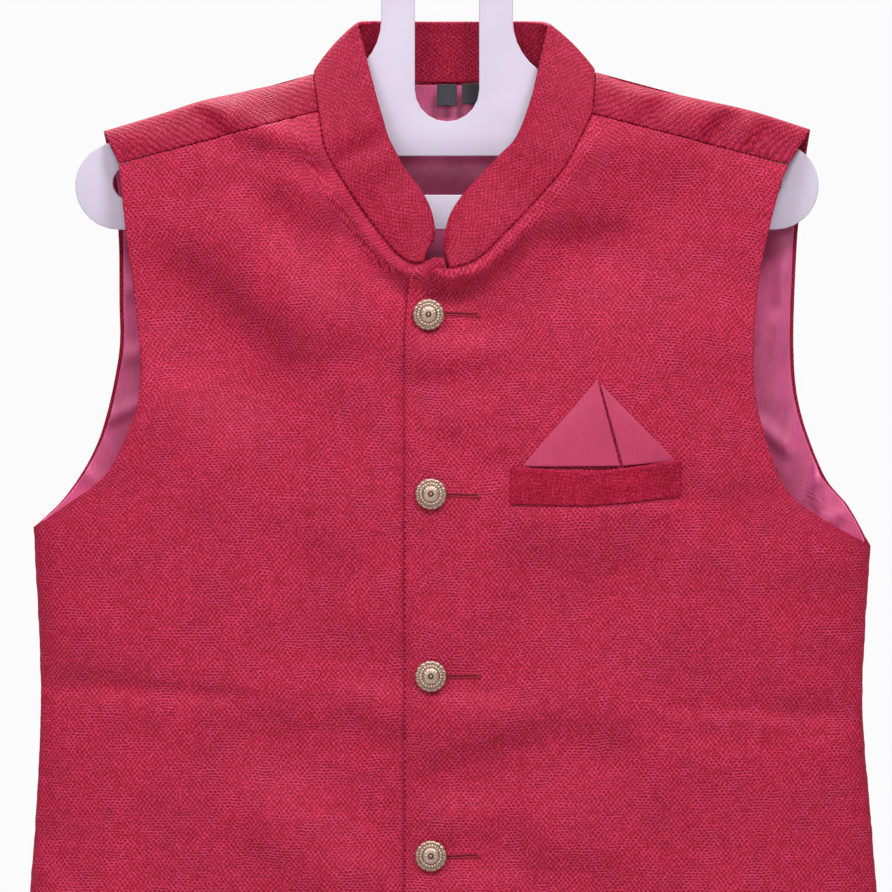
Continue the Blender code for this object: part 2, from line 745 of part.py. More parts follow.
def rounded_box(x0, x1, z0, z1, radius):
    """Outline of a box with round corners."""
    corners = ((x1, z1, 0.0), (x0, z1, 90.0), (x0, z0, 180.0), (x1, z0, 270.0))
    outline = []
    for x, z, start in corners:
        centre = (x - radius if x == x1 else x + radius, z - radius if z == z1 else z + radius)
        outline += arc(centre, radius, start, start + 90.0, 5)
    return outline


def build_hanger():
    """Flat hanger: board, loop, window and end holes."""
    board = plate("hanger", hanger_outline(), BOARD)
    slot = rounded_box(-LOOP_HALF_WIDTH, LOOP_HALF_WIDTH, SLOT_BOTTOM_Z, 0.0, LOOP_HALF_WIDTH - 0.01)
    cuts = {
        "cut_slot": slot,
        "cut_window": rounded_box(*WINDOW, WINDOW_CORNER),
        "cut_right_hole": arc((-END_HOLE[0], END_HOLE[1]), END_HOLE_RADIUS, 0.0, 345.0, 23),
        "cut_left_hole": arc(END_HOLE, END_HOLE_RADIUS, 0.0, 345.0, 23),
    }
    for name, outline in cuts.items():
        cutter = plate(name, outline, 3 * BOARD)
        cutter.hide_render = True
        cutter.display_type = "WIRE"
        cut = board.modifiers.new(name, "BOOLEAN")
        cut.operation = "DIFFERENCE"
        cut.object = cutter
    return board


def main():
    for found in list(bpy.data.objects):
        bpy.data.objects.remove(found)
    build_front("front_right", -1)
    left = build_front("front_left", 1)
    build_back()
    build_front_lining("lining_front_right", -1)
    build_front_lining("lining_front_left", 1)
    build_back_lining()
    build_collar()
    probe = surface_probe(left)
    build_pocket(probe)
    for number in range(1, BUTTON_COUNT + 1):
        build_button(number, probe)
    build_tabs()
    build_hanger()


main()
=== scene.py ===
"""Looks of the nehru jacket and its hanger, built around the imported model.

Sizes are in millimetres and become metres in mesh_object(). +X is the wearer's left, -Y the front and
+Z up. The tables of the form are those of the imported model, but for what their comments say. The sheets
made here are finer, and carry the creases, the seams and the rounded edges. A sheet is a grid of rows: a
row starts at the neck or the centre and ends at the armhole or the side seam.
"""
import math

import bmesh
import bpy
import numpy as np
from mathutils.bvhtree import BVHTree
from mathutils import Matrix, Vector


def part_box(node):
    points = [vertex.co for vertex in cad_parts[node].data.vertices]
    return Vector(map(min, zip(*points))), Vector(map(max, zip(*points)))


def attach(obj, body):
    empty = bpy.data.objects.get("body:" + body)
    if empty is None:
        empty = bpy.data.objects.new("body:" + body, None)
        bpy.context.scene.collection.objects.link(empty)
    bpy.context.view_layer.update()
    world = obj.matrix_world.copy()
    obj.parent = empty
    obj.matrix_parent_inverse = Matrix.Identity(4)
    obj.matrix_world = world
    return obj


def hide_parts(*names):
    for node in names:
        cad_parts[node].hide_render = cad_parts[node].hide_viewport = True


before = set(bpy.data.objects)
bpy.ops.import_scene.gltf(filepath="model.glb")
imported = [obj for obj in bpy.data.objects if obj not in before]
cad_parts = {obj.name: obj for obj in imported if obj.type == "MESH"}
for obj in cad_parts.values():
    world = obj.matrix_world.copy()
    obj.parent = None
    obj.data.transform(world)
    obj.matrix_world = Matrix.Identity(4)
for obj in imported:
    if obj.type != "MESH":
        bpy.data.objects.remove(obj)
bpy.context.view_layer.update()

MM = 0.001

# Thicknesses and gaps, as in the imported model
SHELL = 1.6
LINING = 1.0
COLLAR = 3.0
SEAM_GAP = 0.35
SIDE_GAP = 0.3
OVERLAP_GAP = 0.8
LINING_DEPTH = SHELL + SEAM_GAP

# Overall heights and the front edges
HEM_Z = -783.0
CENTRE_X = 4.0
LEFT_EDGE_X = -25.0
RIGHT_EDGE_X = 6.0
OVERLAP_FADE = (22.0, 48.0)
ARMPIT_Z = {-1: -360.0, 1: -371.0}

# Form of the body: height, half width to the wearer's right and left, depth in front and behind
BODY = (
    (-60, 244.5, 251, 20, 20),
    (-110, 244.5, 251, 23, 21),
    (-200, 244.5, 251, 28, 24),
    (-300, 244.5, 251, 31, 26),
    (-362, 244.5, 251, 32, 27),
    (-420, 241.5, 247.5, 32, 28),
    (-470, 240.5, 246, 31, 27),
    (-540, 244, 251.5, 30, 26),
    (-620, 250.5, 257.5, 29.5, 26),
    (-700, 254.5, 261, 30, 27),
    (-783, 256, 262, 31, 28),
)
# Line of the shoulders over the hanger; between the neck points it is only a guide for the depth
RIDGE = (  # x, z
    (-262, -144), (-203.4, -125.8), (-168.8, -115.2), (-145.2, -107.6), (-115.8, -101.1),
    (-79.4, -91.6), (4, -59), (88.2, -90.6), (117, -99.4), (148.2, -106.4), (179.9, -113.5),
    (215.2, -124.7), (262, -140),
)

# Forward shoulder seams: neck end and armhole end
SHOULDER_SEAM = {  # side: (x, z), (x, z)
    -1: ((-75.9, -114.1), (-194.0, -145.2)),
    1: ((85.8, -115.8), (201.7, -145.8)),
}
SHOULDER_TIP_X = {-1: -203.4, 1: 215.2}

# Neckline and collar, from the centre front to the shoulder seam: seam point and the collar's top edge.
# The first row of the left one is about 2 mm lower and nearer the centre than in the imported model.
NECK_FRONT = {  # side: seam x, seam z, top x, top y, top z
    -1: (
        (-13.5, -203.4, -9.3, -25, -192),
        (-21, -203.6, -7.6, -24, -183),
        (-30, -197.6, -10.2, -22.5, -171),
        (-41.7, -183.5, -16.5, -20.5, -159.4),
        (-51.7, -170, -24.5, -19, -148.5),
        (-62.9, -153, -32, -17.5, -135.5),
        (-71.7, -137, -37.2, -16, -121.5),
        (-75.9, -114.1, -42.3, -13, -103),
    ),
    1: (
        (1.2, -207.3, -1, -27.5, -198),
        (12.3, -204.6, -0.2, -26, -184.5),
        (21.8, -198.7, 2.6, -24.5, -174.5),
        (35.3, -185.2, 9.5, -22, -164),
        (46.5, -174, 19, -20, -152.8),
        (57.6, -161.7, 30, -18, -141.5),
        (68.8, -148.2, 39.5, -16.5, -132.5),
        (78, -132, 45, -15, -121),
        (85.8, -115.8, 50.5, -13, -104),
    ),
}
# The same from the shoulder line to the centre back
NECK_BACK = {
    -1: (
        (-79.4, -91.6, -52.6, 0, -62.5),
        (-70, -93, -49, 5.5, -60.6),
        (-52, -94.4, -38, 9.5, -60),
        (-24, -95.8, -18, 12, -60),
        (4, -96.4, 4, 12.5, -60),
    ),
    1: (
        (88.2, -90.6, 59.8, 0, -63),
        (78, -92.4, 56, 5.5, -60.8),
        (60, -94.2, 46, 9.5, -60),
        (32, -95.8, 26, 12, -60),
        (4, -96.4, 4, 12.5, -60),
    ),
}
# Rest of each front's top edge, past the end of the collar, and its front edge down to the armpit. The
# left one slants in here by up to 4 mm at its top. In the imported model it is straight.
FRONT_TAB = {-1: ((-7.5, -201.6), (-1.8, -201.0)), 1: ((-8.0, -208.6), (-21.2, -209.3))}
FRONT_EDGE = {
    -1: ((-1.8, -201.0), (RIGHT_EDGE_X, -230.0), (RIGHT_EDGE_X, ARMPIT_Z[-1])),
    1: ((-21.2, -209.3), (-23.2, -226.0), (LEFT_EDGE_X, -246.0), (LEFT_EDGE_X, ARMPIT_Z[1])),
}

# Armhole edges, from the shoulder down; the last row is the armpit, on the side seam
ARMHOLE_FRONT = {  # side: x, z
    -1: (
        (-194, -145.2), (-189.3, -187.6), (-184, -225.8), (-180.5, -266), (-184, -292.2),
        (-199.9, -326.9), (-223.4, -345.7), (-244.5, -360),
    ),
    1: (
        (201.7, -145.8), (195.8, -161.7), (185.2, -207), (181.1, -248.1), (182.9, -288.7),
        (198.7, -335.2), (220.5, -354), (250.9, -371),
    ),
}
ARMHOLE_BACK = {
    -1: (
        (-203.4, -125.8), (-199, -150), (-195.2, -187.6), (-194.6, -225.8), (-195.2, -259.3),
        (-206.4, -306.9), (-224.6, -339.3), (-244.5, -360),
    ),
    1: (
        (215.2, -124.7), (212.3, -146.4), (207.6, -195.8), (205.8, -254), (209.9, -291.1),
        (224, -329.3), (238.1, -347.5), (250.9, -371),
    ),
}

# Largest folds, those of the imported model: ends of the fold, half width, height (negative is a trough)
FOLDS_FRONT = (  # x0, z0, x1, z1, half width, height
    (-140, -205, -62, -262, 26, -2.6),
    (-176, -212, -118, -292, 24, 2.2),
    (-112, -575, -46, -660, 26, 2.4),
    (70, -640, 96, -760, 30, -3),
    (172, -600, 190, -775, 30, 3.2),
    (-188, -610, -204, -775, 30, 3),
    (-118, -690, -126, -775, 28, -3),
)
FOLDS_BACK = (
    (-60, -130, 70, -134, 30, -2),
    (-150, -180, -80, -300, 30, 2.4),
    (150, -190, 96, -330, 30, 2.2),
    (-170, -560, -186, -770, 32, 3),
    (-60, -600, -66, -775, 34, -2.6),
    (84, -580, 92, -775, 34, 2.8),
    (186, -620, 196, -775, 28, -2.4),
)

# Creases of the cloth. A line goes from its first end to its second, and bow moves its middle to the
# left of that direction. A ridge stands up along its line, or is a trough if its height is negative. A
# roll is a step along its line: the cloth stands up on the left of the line and lies back on the right,
# or the other way round if its height is negative, and comes back to the form slowly on both sides.
RIDGES_FRONT = (  # x0, z0, x1, z1, bow, half width, height
    # pressed lines of the front darts
    (-108.5, -287, -113.5, -384, 1, 2.6, 0.60),
    (-113.5, -384, -117, -452, 1, 2.6, 0.45),
    (143.5, -352, 122, -455, 2, 2.8, 0.50),
    # cloth that turns down to the left front's edge
    (-26.5, -270, -26.5, -780, 0, 2.4, -1.3),
    # folds knocked in at the packing line
    (122, -467, 141, -482, 1, 3.2, 1.1),
    (-123, -449, -118, -461, 2, 3, 0.7),
)
ROLLS_FRONT = (
    # drag across the wearer's right chest, up to the neck
    (-160, -196, -80, -264, 0, 19, 8.19),
    (-114, -174, -52, -238, -2, 12, -2.99),
    (-188, -205, -140, -304, -4, 24, -3.44),
    (-106, -168, -62, -183, 0, 15, 4.2),
    (-118, -132, -70, -148, 3, 7, 2.73),
    (-136, -127, -102, -136, 0, 9, 1.76),
    (-94, -151, -66, -159, 0, 6, -1.23),
    (-104, -121, -80, -129, 0, 6, -1.1),
    (-130, -156, -112, -182, 0, 9, -1.1),
    (-84, -262, -36, -248, 0, 16, 1.17),
    (-162, -264, -112, -304, 0, 18, -2),
    (-160, -152, -90, -160, 0, 14, 2.6),
    (-100, -284, -44, -290, 0, 16, 2.4),
    (-86, -372, -46, -380, 0, 16, 1.8),
    # the yoke of both shoulders
    (-151, -107, -127, -126, 0, 5, 2.34),
    (-128, -106, -106, -122, 0, 8, -1.23),
    (-196, -124, -160, -128, 0, 8, -0.91),
    (148, -131, 166, -113, 0, 5, 2.34),
    (174, -134, 191, -119, 0, 5, 1.56),
    (110, -118, 126, -106, 0, 5, 1.37),
    (160, -135, 178, -118, 0, 5, -0.91),
    (126, -119, 143, -107, 0, 6, -0.91),
    # wearer's left chest, dark beside the collar
    (6, -226, 92, -172, 0, 20, 6),
    (52, -140, 150, -142, 0, 14, 2.4),
    (60, -186, 108, -181, 0, 10, 2.34),
    (58, -172, 150, -150, 0, 20, 2.34),
    (70, -142, 93, -127, 0, 6, -1.56),
    (90, -212, 186, -232, 0, 26, -2.47),
    (150, -288, 192, -300, 0, 14, -1.1),
    # over the first button, then under the first and second ones
    (-24, -218, 14, -216, 0, 8, 3.38),
    (-14, -251, 34, -248, 0, 6, -1.43),
    (-20, -270, 22, -265, 0, 8, 2.34),
    (-6, -307, 33, -298, 0, 9, 1.56),
    # round the pocket
    (40, -351, 141, -346, 0, 3.6, -0.78),
    (46, -374, 112, -378, 0, 18, 2.54),
    (16, -319, 38, -316, 0, 6, 1.56),
    (149, -322, 137, -402, 0, 6, 1.56),
    (140, -338, 192, -341, 0, 10, 1.37),
    (190, -392, 250, -398, 0, 16, 1.56),
    # packing line across the front, and the cloth above and below it
    (-242, -445, -188, -448, 0, 9, 2.08),
    (-192, -451, -124, -456, 0, 4, 0.91),
    (-243, -459, -190, -460, 0, 5, -1.23),
    (-190, -460, -126, -463, 0, 5, -0.98),
    (-242, -424, -200, -428, 0, 15, 1.37),
    (-116, -466, -80, -479, 0, 10, 1.37),
    (-63, -468, -26, -485, 0, 10, 1.95),
    (-58, -452, -28, -458, 0, 7, -1.43),
    (-68, -420, -28, -424, 0, 14, 1.95),
    (196, -463, 247, -467, 0, 7, 0.6),
    (140, -470, 250, -476, 0, 4, -1.23),
    (118, -485, 190, -489, 0, 9, -1.23),
    (204, -484, 247, -486, 0, 7, -1.23),
    (64, -477, 112, -484, 0, 12, 2.15),
    # between the third and fourth buttons
    (-18, -503, 62, -474, 0, 11, 2.54),
    (-8, -459, 46, -463, 0, 8, -2.02),
    (-14, -520, 30, -524, 0, 9, -1.43),
    (-10, -546, 36, -532, 0, 7, 0.98),
    (-5, -567, 50, -561, 0, 10, -1.89),
    (46, -555, 109, -563, 0, 15, 3.12),
    (113.5, -478, 113.5, -592, 1, 7, 1.95),
    (-114, -499, -34, -567, 0, 18, -3.58),
    (-124, -534, -68, -587, 0, 14, 3.12),
    (-246, -549, -214, -582, 0, 7, -1.69),
    # skirt
    (34, -604, 100, -622, 3, 15, 3.71),
    (-100, -636, -32, -668, 4, 15, 3.9),
    (-14, -634, 44, -614, -3, 10, 2.93),
    (-18, -728, 36, -710, -3, 10, 2.73),
    (-238, -640, -150, -652, 1, 6, 1.37),
    (140, -660, 246, -650, 1, 6, 1.37),
    (120, -700, 196, -720, 2, 16, -2.47),
    (-200, -700, -128, -688, 2, 16, 2.93),
)
RIDGES_BACK = (
    (-52, -150, 58, -146, 3, 8, 2.1),
    (-150, -330, -90, -420, 5, 16, 2.45),
    (132, -350, 88, -436, -6, 16, 2.6),
    (4, -470, 10, -600, 2, 14, 2.1),
)
ROLLS_BACK = (
    (-196, -186, -112, -262, 5, 18, 3.65),
    (120, -270, 198, -196, -5, 18, 3.35),
    (-240, -452, -60, -457, 1, 5, 1.1),
    (-240, -463, -90, -467, 1, 5, -0.85),
    (30, -458, 246, -453, -1, 5, 1.1),
    (60, -470, 246, -465, -1, 5, -0.85),
    (-40, -122, 46, -120, 1, 8, 1.7),
    (-128, -500, -66, -522, 3, 14, 2.4),
    (60, -550, 150, -530, -3, 14, 2.4),
    (-160, -640, -80, -662, 3, 16, 2.8),
    (40, -704, 130, -684, 3, 15, 2.5),
    (-80, -240, -10, -262, 3, 15, 2.4),
    (24, -304, 92, -286, 3, 14, 2.1),
)
# Beside the collar seam: share of the seam from its front end, then how deep the seam itself is drawn
# in, the height of the ridge outside it, and of the trough outside that
BESIDE_COLLAR = {
    -1: ((0.0, 0.8, 1.0, -0.4), (0.10, 1.4, 2.5, -2.2), (0.35, 1.4, 2.5, -2.2), (0.50, 1.2, 1.2, -1.2),
         (0.70, 0.6, 0.2, 0.0), (1.0, 0.3, 0.0, 0.0)),
    1: ((0.0, 0.8, 2.4, -2.4), (0.25, 1.0, 2.6, -2.8), (0.42, 0.8, 1.9, -2.0), (0.55, 0.4, 0.4, -0.4),
        (1.0, 0.2, 0.0, 0.0)),
}
SEAM_DIP_WIDTH = 3.6
BESIDE_RIDGE_AT = 7.0
BESIDE_RIDGE_WIDTH = 3.8
BESIDE_TROUGH_AT = 17.0
BESIDE_TROUGH_WIDTH = 6.5

# Broad swells and hollows that only the looks have: ends, half width, height. The first takes away the
# second of the folds above, where the creases of the chest say it better.
SWELLS_FRONT = (
    (-176, -212, -118, -292, 24, -2.2),
    (-86, -262, -78, -296, 34, 2),
    (-86, -388, -80, -424, 34, -2),
    (30, -335, 90, -345, 26, 1.2),
    (40, -412, 100, -416, 28, -1.2),
)

# A crease keeps its height to this share of its length on each side of its middle, then fades; a roll's
# step is this steep and dies away in this many half widths
CREASE_WHOLE = 0.3
CREASE_FADE = 1.2
ROLL_STEEPNESS = 1.3
ROLL_REACH = 3.2

# Ripples of cloth that hangs: how many, their height and lengths, how they tilt and how their lines sway
RIPPLES = 16
RIPPLE_HEIGHT = 0.08
RIPPLE_LENGTHS = (34.0, 120.0)
RIPPLE_TILT = 0.75
RIPPLE_SWAY = 9.0
RIPPLE_SWAY_LENGTHS = (60.0, 110.0)

# How the form turns in at the side, and how far below the shoulder line it has its whole depth (in the
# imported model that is 110). Creases are lower where the form has less than 1 / CREASE_DEPTHS of its depth.
SIDE_POWER = 2.6
RIDGE_REACH = 60.0
CREASE_DEPTHS = 2.5
# Columns are drawn towards the side seam where a row ends past this share of the half width
BUNCHING_FROM = 0.75

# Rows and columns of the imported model's panels, and how many finer steps each is split into
NECK_STEPS = 6
TAB_STEPS = 1
EDGE_STEPS = 5
BELOW_STEPS = 12
BACK_NECK_STEPS = (0.02, 0.08, 0.2, 0.4, 0.65, 1.0)
BACK_ARM_STEPS = (0.006, 0.03, 0.08, 0.16, 0.26, 0.38)
WRAP_STEPS = (1.0, 0.45, 0.12, 0.0)
BACK_MIDDLE_STEPS = 6
COLUMNS = 11
UPPER_SPLIT = 9
LOWER_SPLIT = 14
FRONT_COLUMNS = COLUMNS * 10
WRAP_SPLIT = 5
BACK_NECK_SPLIT = 5
BACK_LOWER_SPLIT = 9
BACK_COLUMNS = COLUMNS * 7


# ---------------------------------------------------------------- curves and the form of the body

def dense(rows, steps=12):
    """Short steps along the smooth curve through the rows of a table."""
    points = np.array(rows, float)
    points = np.vstack([2 * points[0] - points[1], points, 2 * points[-1] - points[-2]])
    t = np.linspace(0.0, 1.0, steps, endpoint=False)[:, None]
    pieces = []
    for a, b, c, d in zip(points, points[1:], points[2:], points[3:]):
        pieces.append(b + 0.5 * t * (c - a + t * (2 * a - 5 * b + 4 * c - d + t * (3 * (b - c) + d - a))))
    pieces.append(points[-2:-1])
    return np.vstack(pieces)


def run_lengths(steps, axis=0):
    """Sum of the steps up to each point, from none at the first one."""
    total = np.cumsum(steps, axis=axis)
    return np.concatenate([np.zeros_like(np.take(total, [0], axis=axis)), total], axis=axis)


def step_lengths(points, axis=0):
    """Distance from each point to the next one."""
    return np.linalg.norm(np.diff(points, axis=axis), axis=-1)


def bell(away, width):
    """One at no distance, and next to nothing two widths away."""
    return np.exp(-((away / width) ** 2))


def along(curve, fractions):
    """Points at these fractions of a curve's length."""
    lengths = run_lengths(step_lengths(curve))
    wanted = np.asarray(fractions) * lengths[-1]
    return np.stack([np.interp(wanted, lengths, column) for column in curve.T], axis=1)


def split(values, times):
    """The values with each interval between them cut into equal steps."""
    count = len(values) - 1
    return np.interp(np.linspace(0.0, count, count * times + 1), np.arange(count + 1), values)


BODY_CURVE = dense(BODY)[::-1]
RIDGE_CURVE = dense(RIDGE)


def body(z, column):
    """One column of the table BODY at the heights z."""
    return np.interp(z, BODY_CURVE[:, 0], BODY_CURVE[:, column])


def half_width(x, z):
    """Half width of the body on the side of x."""
    return np.where(x < 0.0, body(z, 1), body(z, 2))


def ridge(x):
    """Height of the shoulder line."""
    return np.interp(x, RIDGE_CURVE[:, 0], RIDGE_CURVE[:, 1])


def swell(x, z):
    """Share of the depth that the form has at x, z: none on the shoulder line and at the side."""
    across = np.clip(np.abs(x) / half_width(x, z), 0.0, 1.0)
    below = np.clip((ridge(x) - z) / RIDGE_REACH, 0.0, 1.0)
    return np.sqrt(1.0 - across**SIDE_POWER) * np.sqrt(1.0 - (1.0 - below) ** 2)


def folds(x, z, table):
    """Height of the largest folds at x, z."""
    total = np.zeros(np.broadcast(x, z).shape)
    for x0, z0, x1, z1, width, height in table:
        dx, dz = x1 - x0, z1 - z0
        t = np.clip(((x - x0) * dx + (z - z0) * dz) / (dx * dx + dz * dz), 0.0, 1.0)
        away = (x - x0 - t * dx) ** 2 + (z - z0 - t * dz) ** 2
        total += height * np.exp(-away / width**2)
    return total


def creases(x, z, ridges, rolls):
    """Height of the creases of two tables at x, z."""
    total = np.zeros(np.broadcast(x, z).shape)
    for table, is_roll in ((ridges, False), (rolls, True)):
        for x0, z0, x1, z1, bow, width, height in table:
            length = math.hypot(x1 - x0, z1 - z0)
            ux, uz = (x1 - x0) / length, (z1 - z0) / length
            t = ((x - x0) * ux + (z - z0) * uz) / length
            inside = np.clip(t, 0.0, 1.0)
            away = ((z - z0) * ux - (x - x0) * uz - 4.0 * bow * inside * (1.0 - inside)) / width
            past = np.maximum(np.abs(t - 0.5) - CREASE_WHOLE, 0.0) / CREASE_WHOLE
            past = np.maximum(past, np.maximum(np.abs(t - 0.5) - 0.5, 0.0) * length / (2.0 * width))
            fade = np.exp(-CREASE_FADE * past**2)
            profile = np.tanh(ROLL_STEEPNESS * away) * bell(away, ROLL_REACH) if is_roll else np.exp(-away**2)
            total += height * fade * profile
    return total


def ripple(x, z, seed):
    """Slight unevenness of cloth that hangs: long low waves that mostly run down, the same each run."""
    rng = np.random.default_rng(seed)
    total = np.zeros(np.broadcast(x, z).shape)
    for _ in range(RIPPLES):
        tilt = rng.normal(0.0, RIPPLE_TILT)
        length = rng.uniform(*RIPPLE_LENGTHS)
        start = rng.uniform(0.0, 2.0 * math.pi)
        sway = RIPPLE_SWAY * np.sin(z / rng.uniform(*RIPPLE_SWAY_LENGTHS) + start)
        total += np.sin(2.0 * math.pi * ((x + sway) * math.cos(tilt) + z * math.sin(tilt)) / length + start)
    return RIPPLE_HEIGHT * total


def beside_collar(x, z, side):
    """Dip at the collar seam of one front, and the ridge and trough that follow it."""
    seam = dense([row[:2] for row in NECK_FRONT[side]], 6)
    share = np.linspace(0.0, 1.0, len(seam))
    gap = (x[..., None] - seam[:, 0]) ** 2 + (z[..., None] - seam[:, 1]) ** 2
    nearest = np.argmin(gap, axis=-1)
    away = np.sqrt(np.min(gap, axis=-1))
    rows = np.array(BESIDE_COLLAR[side])
    dip, up, down = (np.interp(share[nearest], rows[:, 0], rows[:, k]) for k in (1, 2, 3))
    raised = up * bell(away - BESIDE_RIDGE_AT, BESIDE_RIDGE_WIDTH) - dip * bell(away, SEAM_DIP_WIDTH)
    return raised + down * bell(away - BESIDE_TROUGH_AT, BESIDE_TROUGH_WIDTH)


def cloth_y(x, z, face):
    """Outer surface of the cloth with its creases: face -1 is the front, 1 the back."""
    share = swell(x, z)
    if face < 0:
        depth = body(z, 3) + folds(x, z, FOLDS_FRONT)
        small = creases(x, z, RIDGES_FRONT, ROLLS_FRONT) + folds(x, z, SWELLS_FRONT) + ripple(x, z, seed=3)
    else:
        depth = body(z, 4) + folds(x, z, FOLDS_BACK)
        small = creases(x, z, RIDGES_BACK, ROLLS_BACK) + ripple(x, z, seed=5)
    return face * (SIDE_GAP / 2 + depth * share + small * np.clip(CREASE_DEPTHS * share, 0.0, 1.0))


def overlap_raise(x):
    """How far the left front is lifted over the right one, near the centre."""
    near, far = OVERLAP_FADE
    t = np.clip((far - x) / (far - near), 0.0, 1.0)
    return (SHELL + OVERLAP_GAP) * t * t * (3.0 - 2.0 * t)


# ---------------------------------------------------------------- grids of the panels

def spread(columns, bunching):
    """Column positions from 0 to 1: even, or drawn towards the side seam where the form turns in."""
    u = np.linspace(0.0, 1.0, columns + 1)
    return (1.0 - bunching) * u + bunching * np.sin(u * math.pi / 2)


def grid_between(inner, outer, columns, face):
    """Grid of points on the form, row by row, from inner edge points to outer edge points."""
    x0, z0 = inner[:, :1], inner[:, 1:2]
    x1, z1 = outer[:, :1], outer[:, 1:2]
    share = np.abs(x1) / half_width(x1, z1)
    reach = np.clip((share - BUNCHING_FROM) / (1.0 - BUNCHING_FROM), 0.0, 1.0)
    c = (1.0 - reach) * spread(columns, 0.0) + reach * spread(columns, 1.0)
    x = x0 + (x1 - x0) * c
    z = z0 + (z1 - z0) * c
    return np.stack([x, cloth_y(x, z, face), z], axis=-1)


def unit(vectors):
    """Vectors of length one."""
    return vectors / np.maximum(np.linalg.norm(vectors, axis=-1, keepdims=True), 1e-9)


def tangents(grid, axis):
    """Direction of the grid lines along an axis, at every point."""
    steps = unit(np.diff(grid, axis=axis))
    first = np.take(steps, [0], axis=axis)
    last = np.take(steps, [-1], axis=axis)
    before = np.concatenate([first, steps], axis=axis)
    after = np.concatenate([steps, last], axis=axis)
    return unit(before + after)


def normals(grid, side, face):
    """Outward normals of a panel grid, turned straight out on the side seam."""
    found = unit(np.cross(tangents(grid, 0), tangents(grid, 1))) * -side * face
    on_seam = np.abs(grid[:, -1, 1]) <= SIDE_GAP / 2 + 0.01
    found[on_seam, -1, 1] = 0.0
    return unit(found)


def armhole_and_side(side, table, fractions, steps):
    """Outer edge of a panel: the armhole at these fractions of its length, then down the side seam."""
    arm = along(dense(table[side]), fractions)[:-1]
    z = np.linspace(ARMPIT_Z[side], HEM_Z, steps + 1)
    return np.vstack([arm, np.stack([side * body(z, 1 if side < 0 else 2), z], axis=1)])


def straight_down(x, z_from, z_to, count):
    """Points down a straight edge."""
    z = np.linspace(z_from, z_to, count + 1)[1:]
    return np.stack([np.full(count, x), z], axis=1)


def front_neck(side, times):
    """Seam and top edge of the collar along one front, from its front end to the shoulder seam."""
    return along(dense(NECK_FRONT[side]), np.linspace(0.0, 1.0, NECK_STEPS * times + 1))


def back_neck(side):
    """Seam and top edge of the collar behind, from the shoulder line to the centre back."""
    return along(dense(NECK_BACK[side]), split((0.0,) + BACK_NECK_STEPS, BACK_NECK_SPLIT))


def front_grid(side, upper, lower, columns):
    """Grid of one front, from the shoulder seam to the hem."""
    neck = front_neck(side, upper)[::-1, :2].copy()
    tab = along(np.vstack([neck[-1:], FRONT_TAB[side]]), np.linspace(0.0, 1.0, TAB_STEPS * upper + 1))[1:]
    edge = along(np.array(FRONT_EDGE[side]), np.linspace(0.0, 1.0, EDGE_STEPS * upper + 1))[1:]
    below = straight_down(edge[-1, 0], ARMPIT_Z[side], HEM_Z, BELOW_STEPS * lower)
    inner = np.vstack([neck, tab, edge, below])
    rows = (NECK_STEPS + TAB_STEPS + EDGE_STEPS) * upper
    outer = armhole_and_side(side, ARMHOLE_FRONT, np.linspace(0.0, 1.0, rows + 1), BELOW_STEPS * lower)
    inner[0, 1] -= SEAM_GAP
    outer[0, 1] -= SEAM_GAP
    grid = grid_between(inner, outer, columns, -1)
    grid[:, :, 1] -= beside_collar(grid[:, :, 0], grid[:, :, 2], side)
    if side > 0:
        grid[:, :, 1] -= overlap_raise(grid[:, :, 0])
    return grid


def wrap_grid(side, columns):
    """Rows of the back that come over the shoulder line, from the forward seam to the line itself."""
    (neck_x, neck_z), (arm_x, arm_z) = SHOULDER_SEAM[side]
    rows = []
    for step in split(WRAP_STEPS, WRAP_SPLIT):
        start = NECK_BACK[side][0][0] + (neck_x - NECK_BACK[side][0][0]) * step
        end = SHOULDER_TIP_X[side] + (arm_x - SHOULDER_TIP_X[side]) * step
        x = start + (end - start) * spread(columns, 0.0)
        seam_z = neck_z + (arm_z - neck_z) * (x - neck_x) / (arm_x - neck_x)
        z = ridge(x) - step * (ridge(x) - seam_z)
        y = cloth_y(x, z, -1) if step > 0.0 else np.zeros_like(x)
        rows.append(np.stack([x, y, z], axis=1))
    return np.array(rows)


def back_half_grid(side, lower, columns):
    """Grid of half of the back, from the forward shoulder seam over the shoulder to the hem."""
    neck = back_neck(side)[1:, :2]
    upper_steps = split((0.0,) + BACK_ARM_STEPS, BACK_NECK_SPLIT)[1:]
    lower_steps = np.linspace(BACK_ARM_STEPS[-1], 1.0, BACK_MIDDLE_STEPS * lower + 1)[1:]
    fractions = np.concatenate([upper_steps, lower_steps])
    outer = armhole_and_side(side, ARMHOLE_BACK, fractions, BELOW_STEPS * lower)
    inner = np.vstack([
        neck,
        straight_down(CENTRE_X, neck[-1, 1], ARMPIT_Z[1], BACK_MIDDLE_STEPS * lower),
        straight_down(CENTRE_X, ARMPIT_Z[1], HEM_Z, BELOW_STEPS * lower),
    ])
    return np.concatenate([wrap_grid(side, columns), grid_between(inner, outer, columns, 1)])


def arc_uv(grid, side):
    """Place of every point on the flat cloth, in millimetres: across from the middle, and up from the hem."""
    steps = np.diff(grid, axis=1)
    across = run_lengths(np.hypot(steps[..., 0], steps[..., 1]), axis=1)
    steps = np.diff(grid[::-1], axis=0)
    up = run_lengths(np.hypot(steps[..., 1], steps[..., 2]))
    return np.stack([grid[:, :1, 0] + side * across, up[::-1]], axis=-1)


# Waves of a sewn edge, as shares of the length that a call asks for
WAVE_LENGTHS = (0.6, 1.0, 1.7)


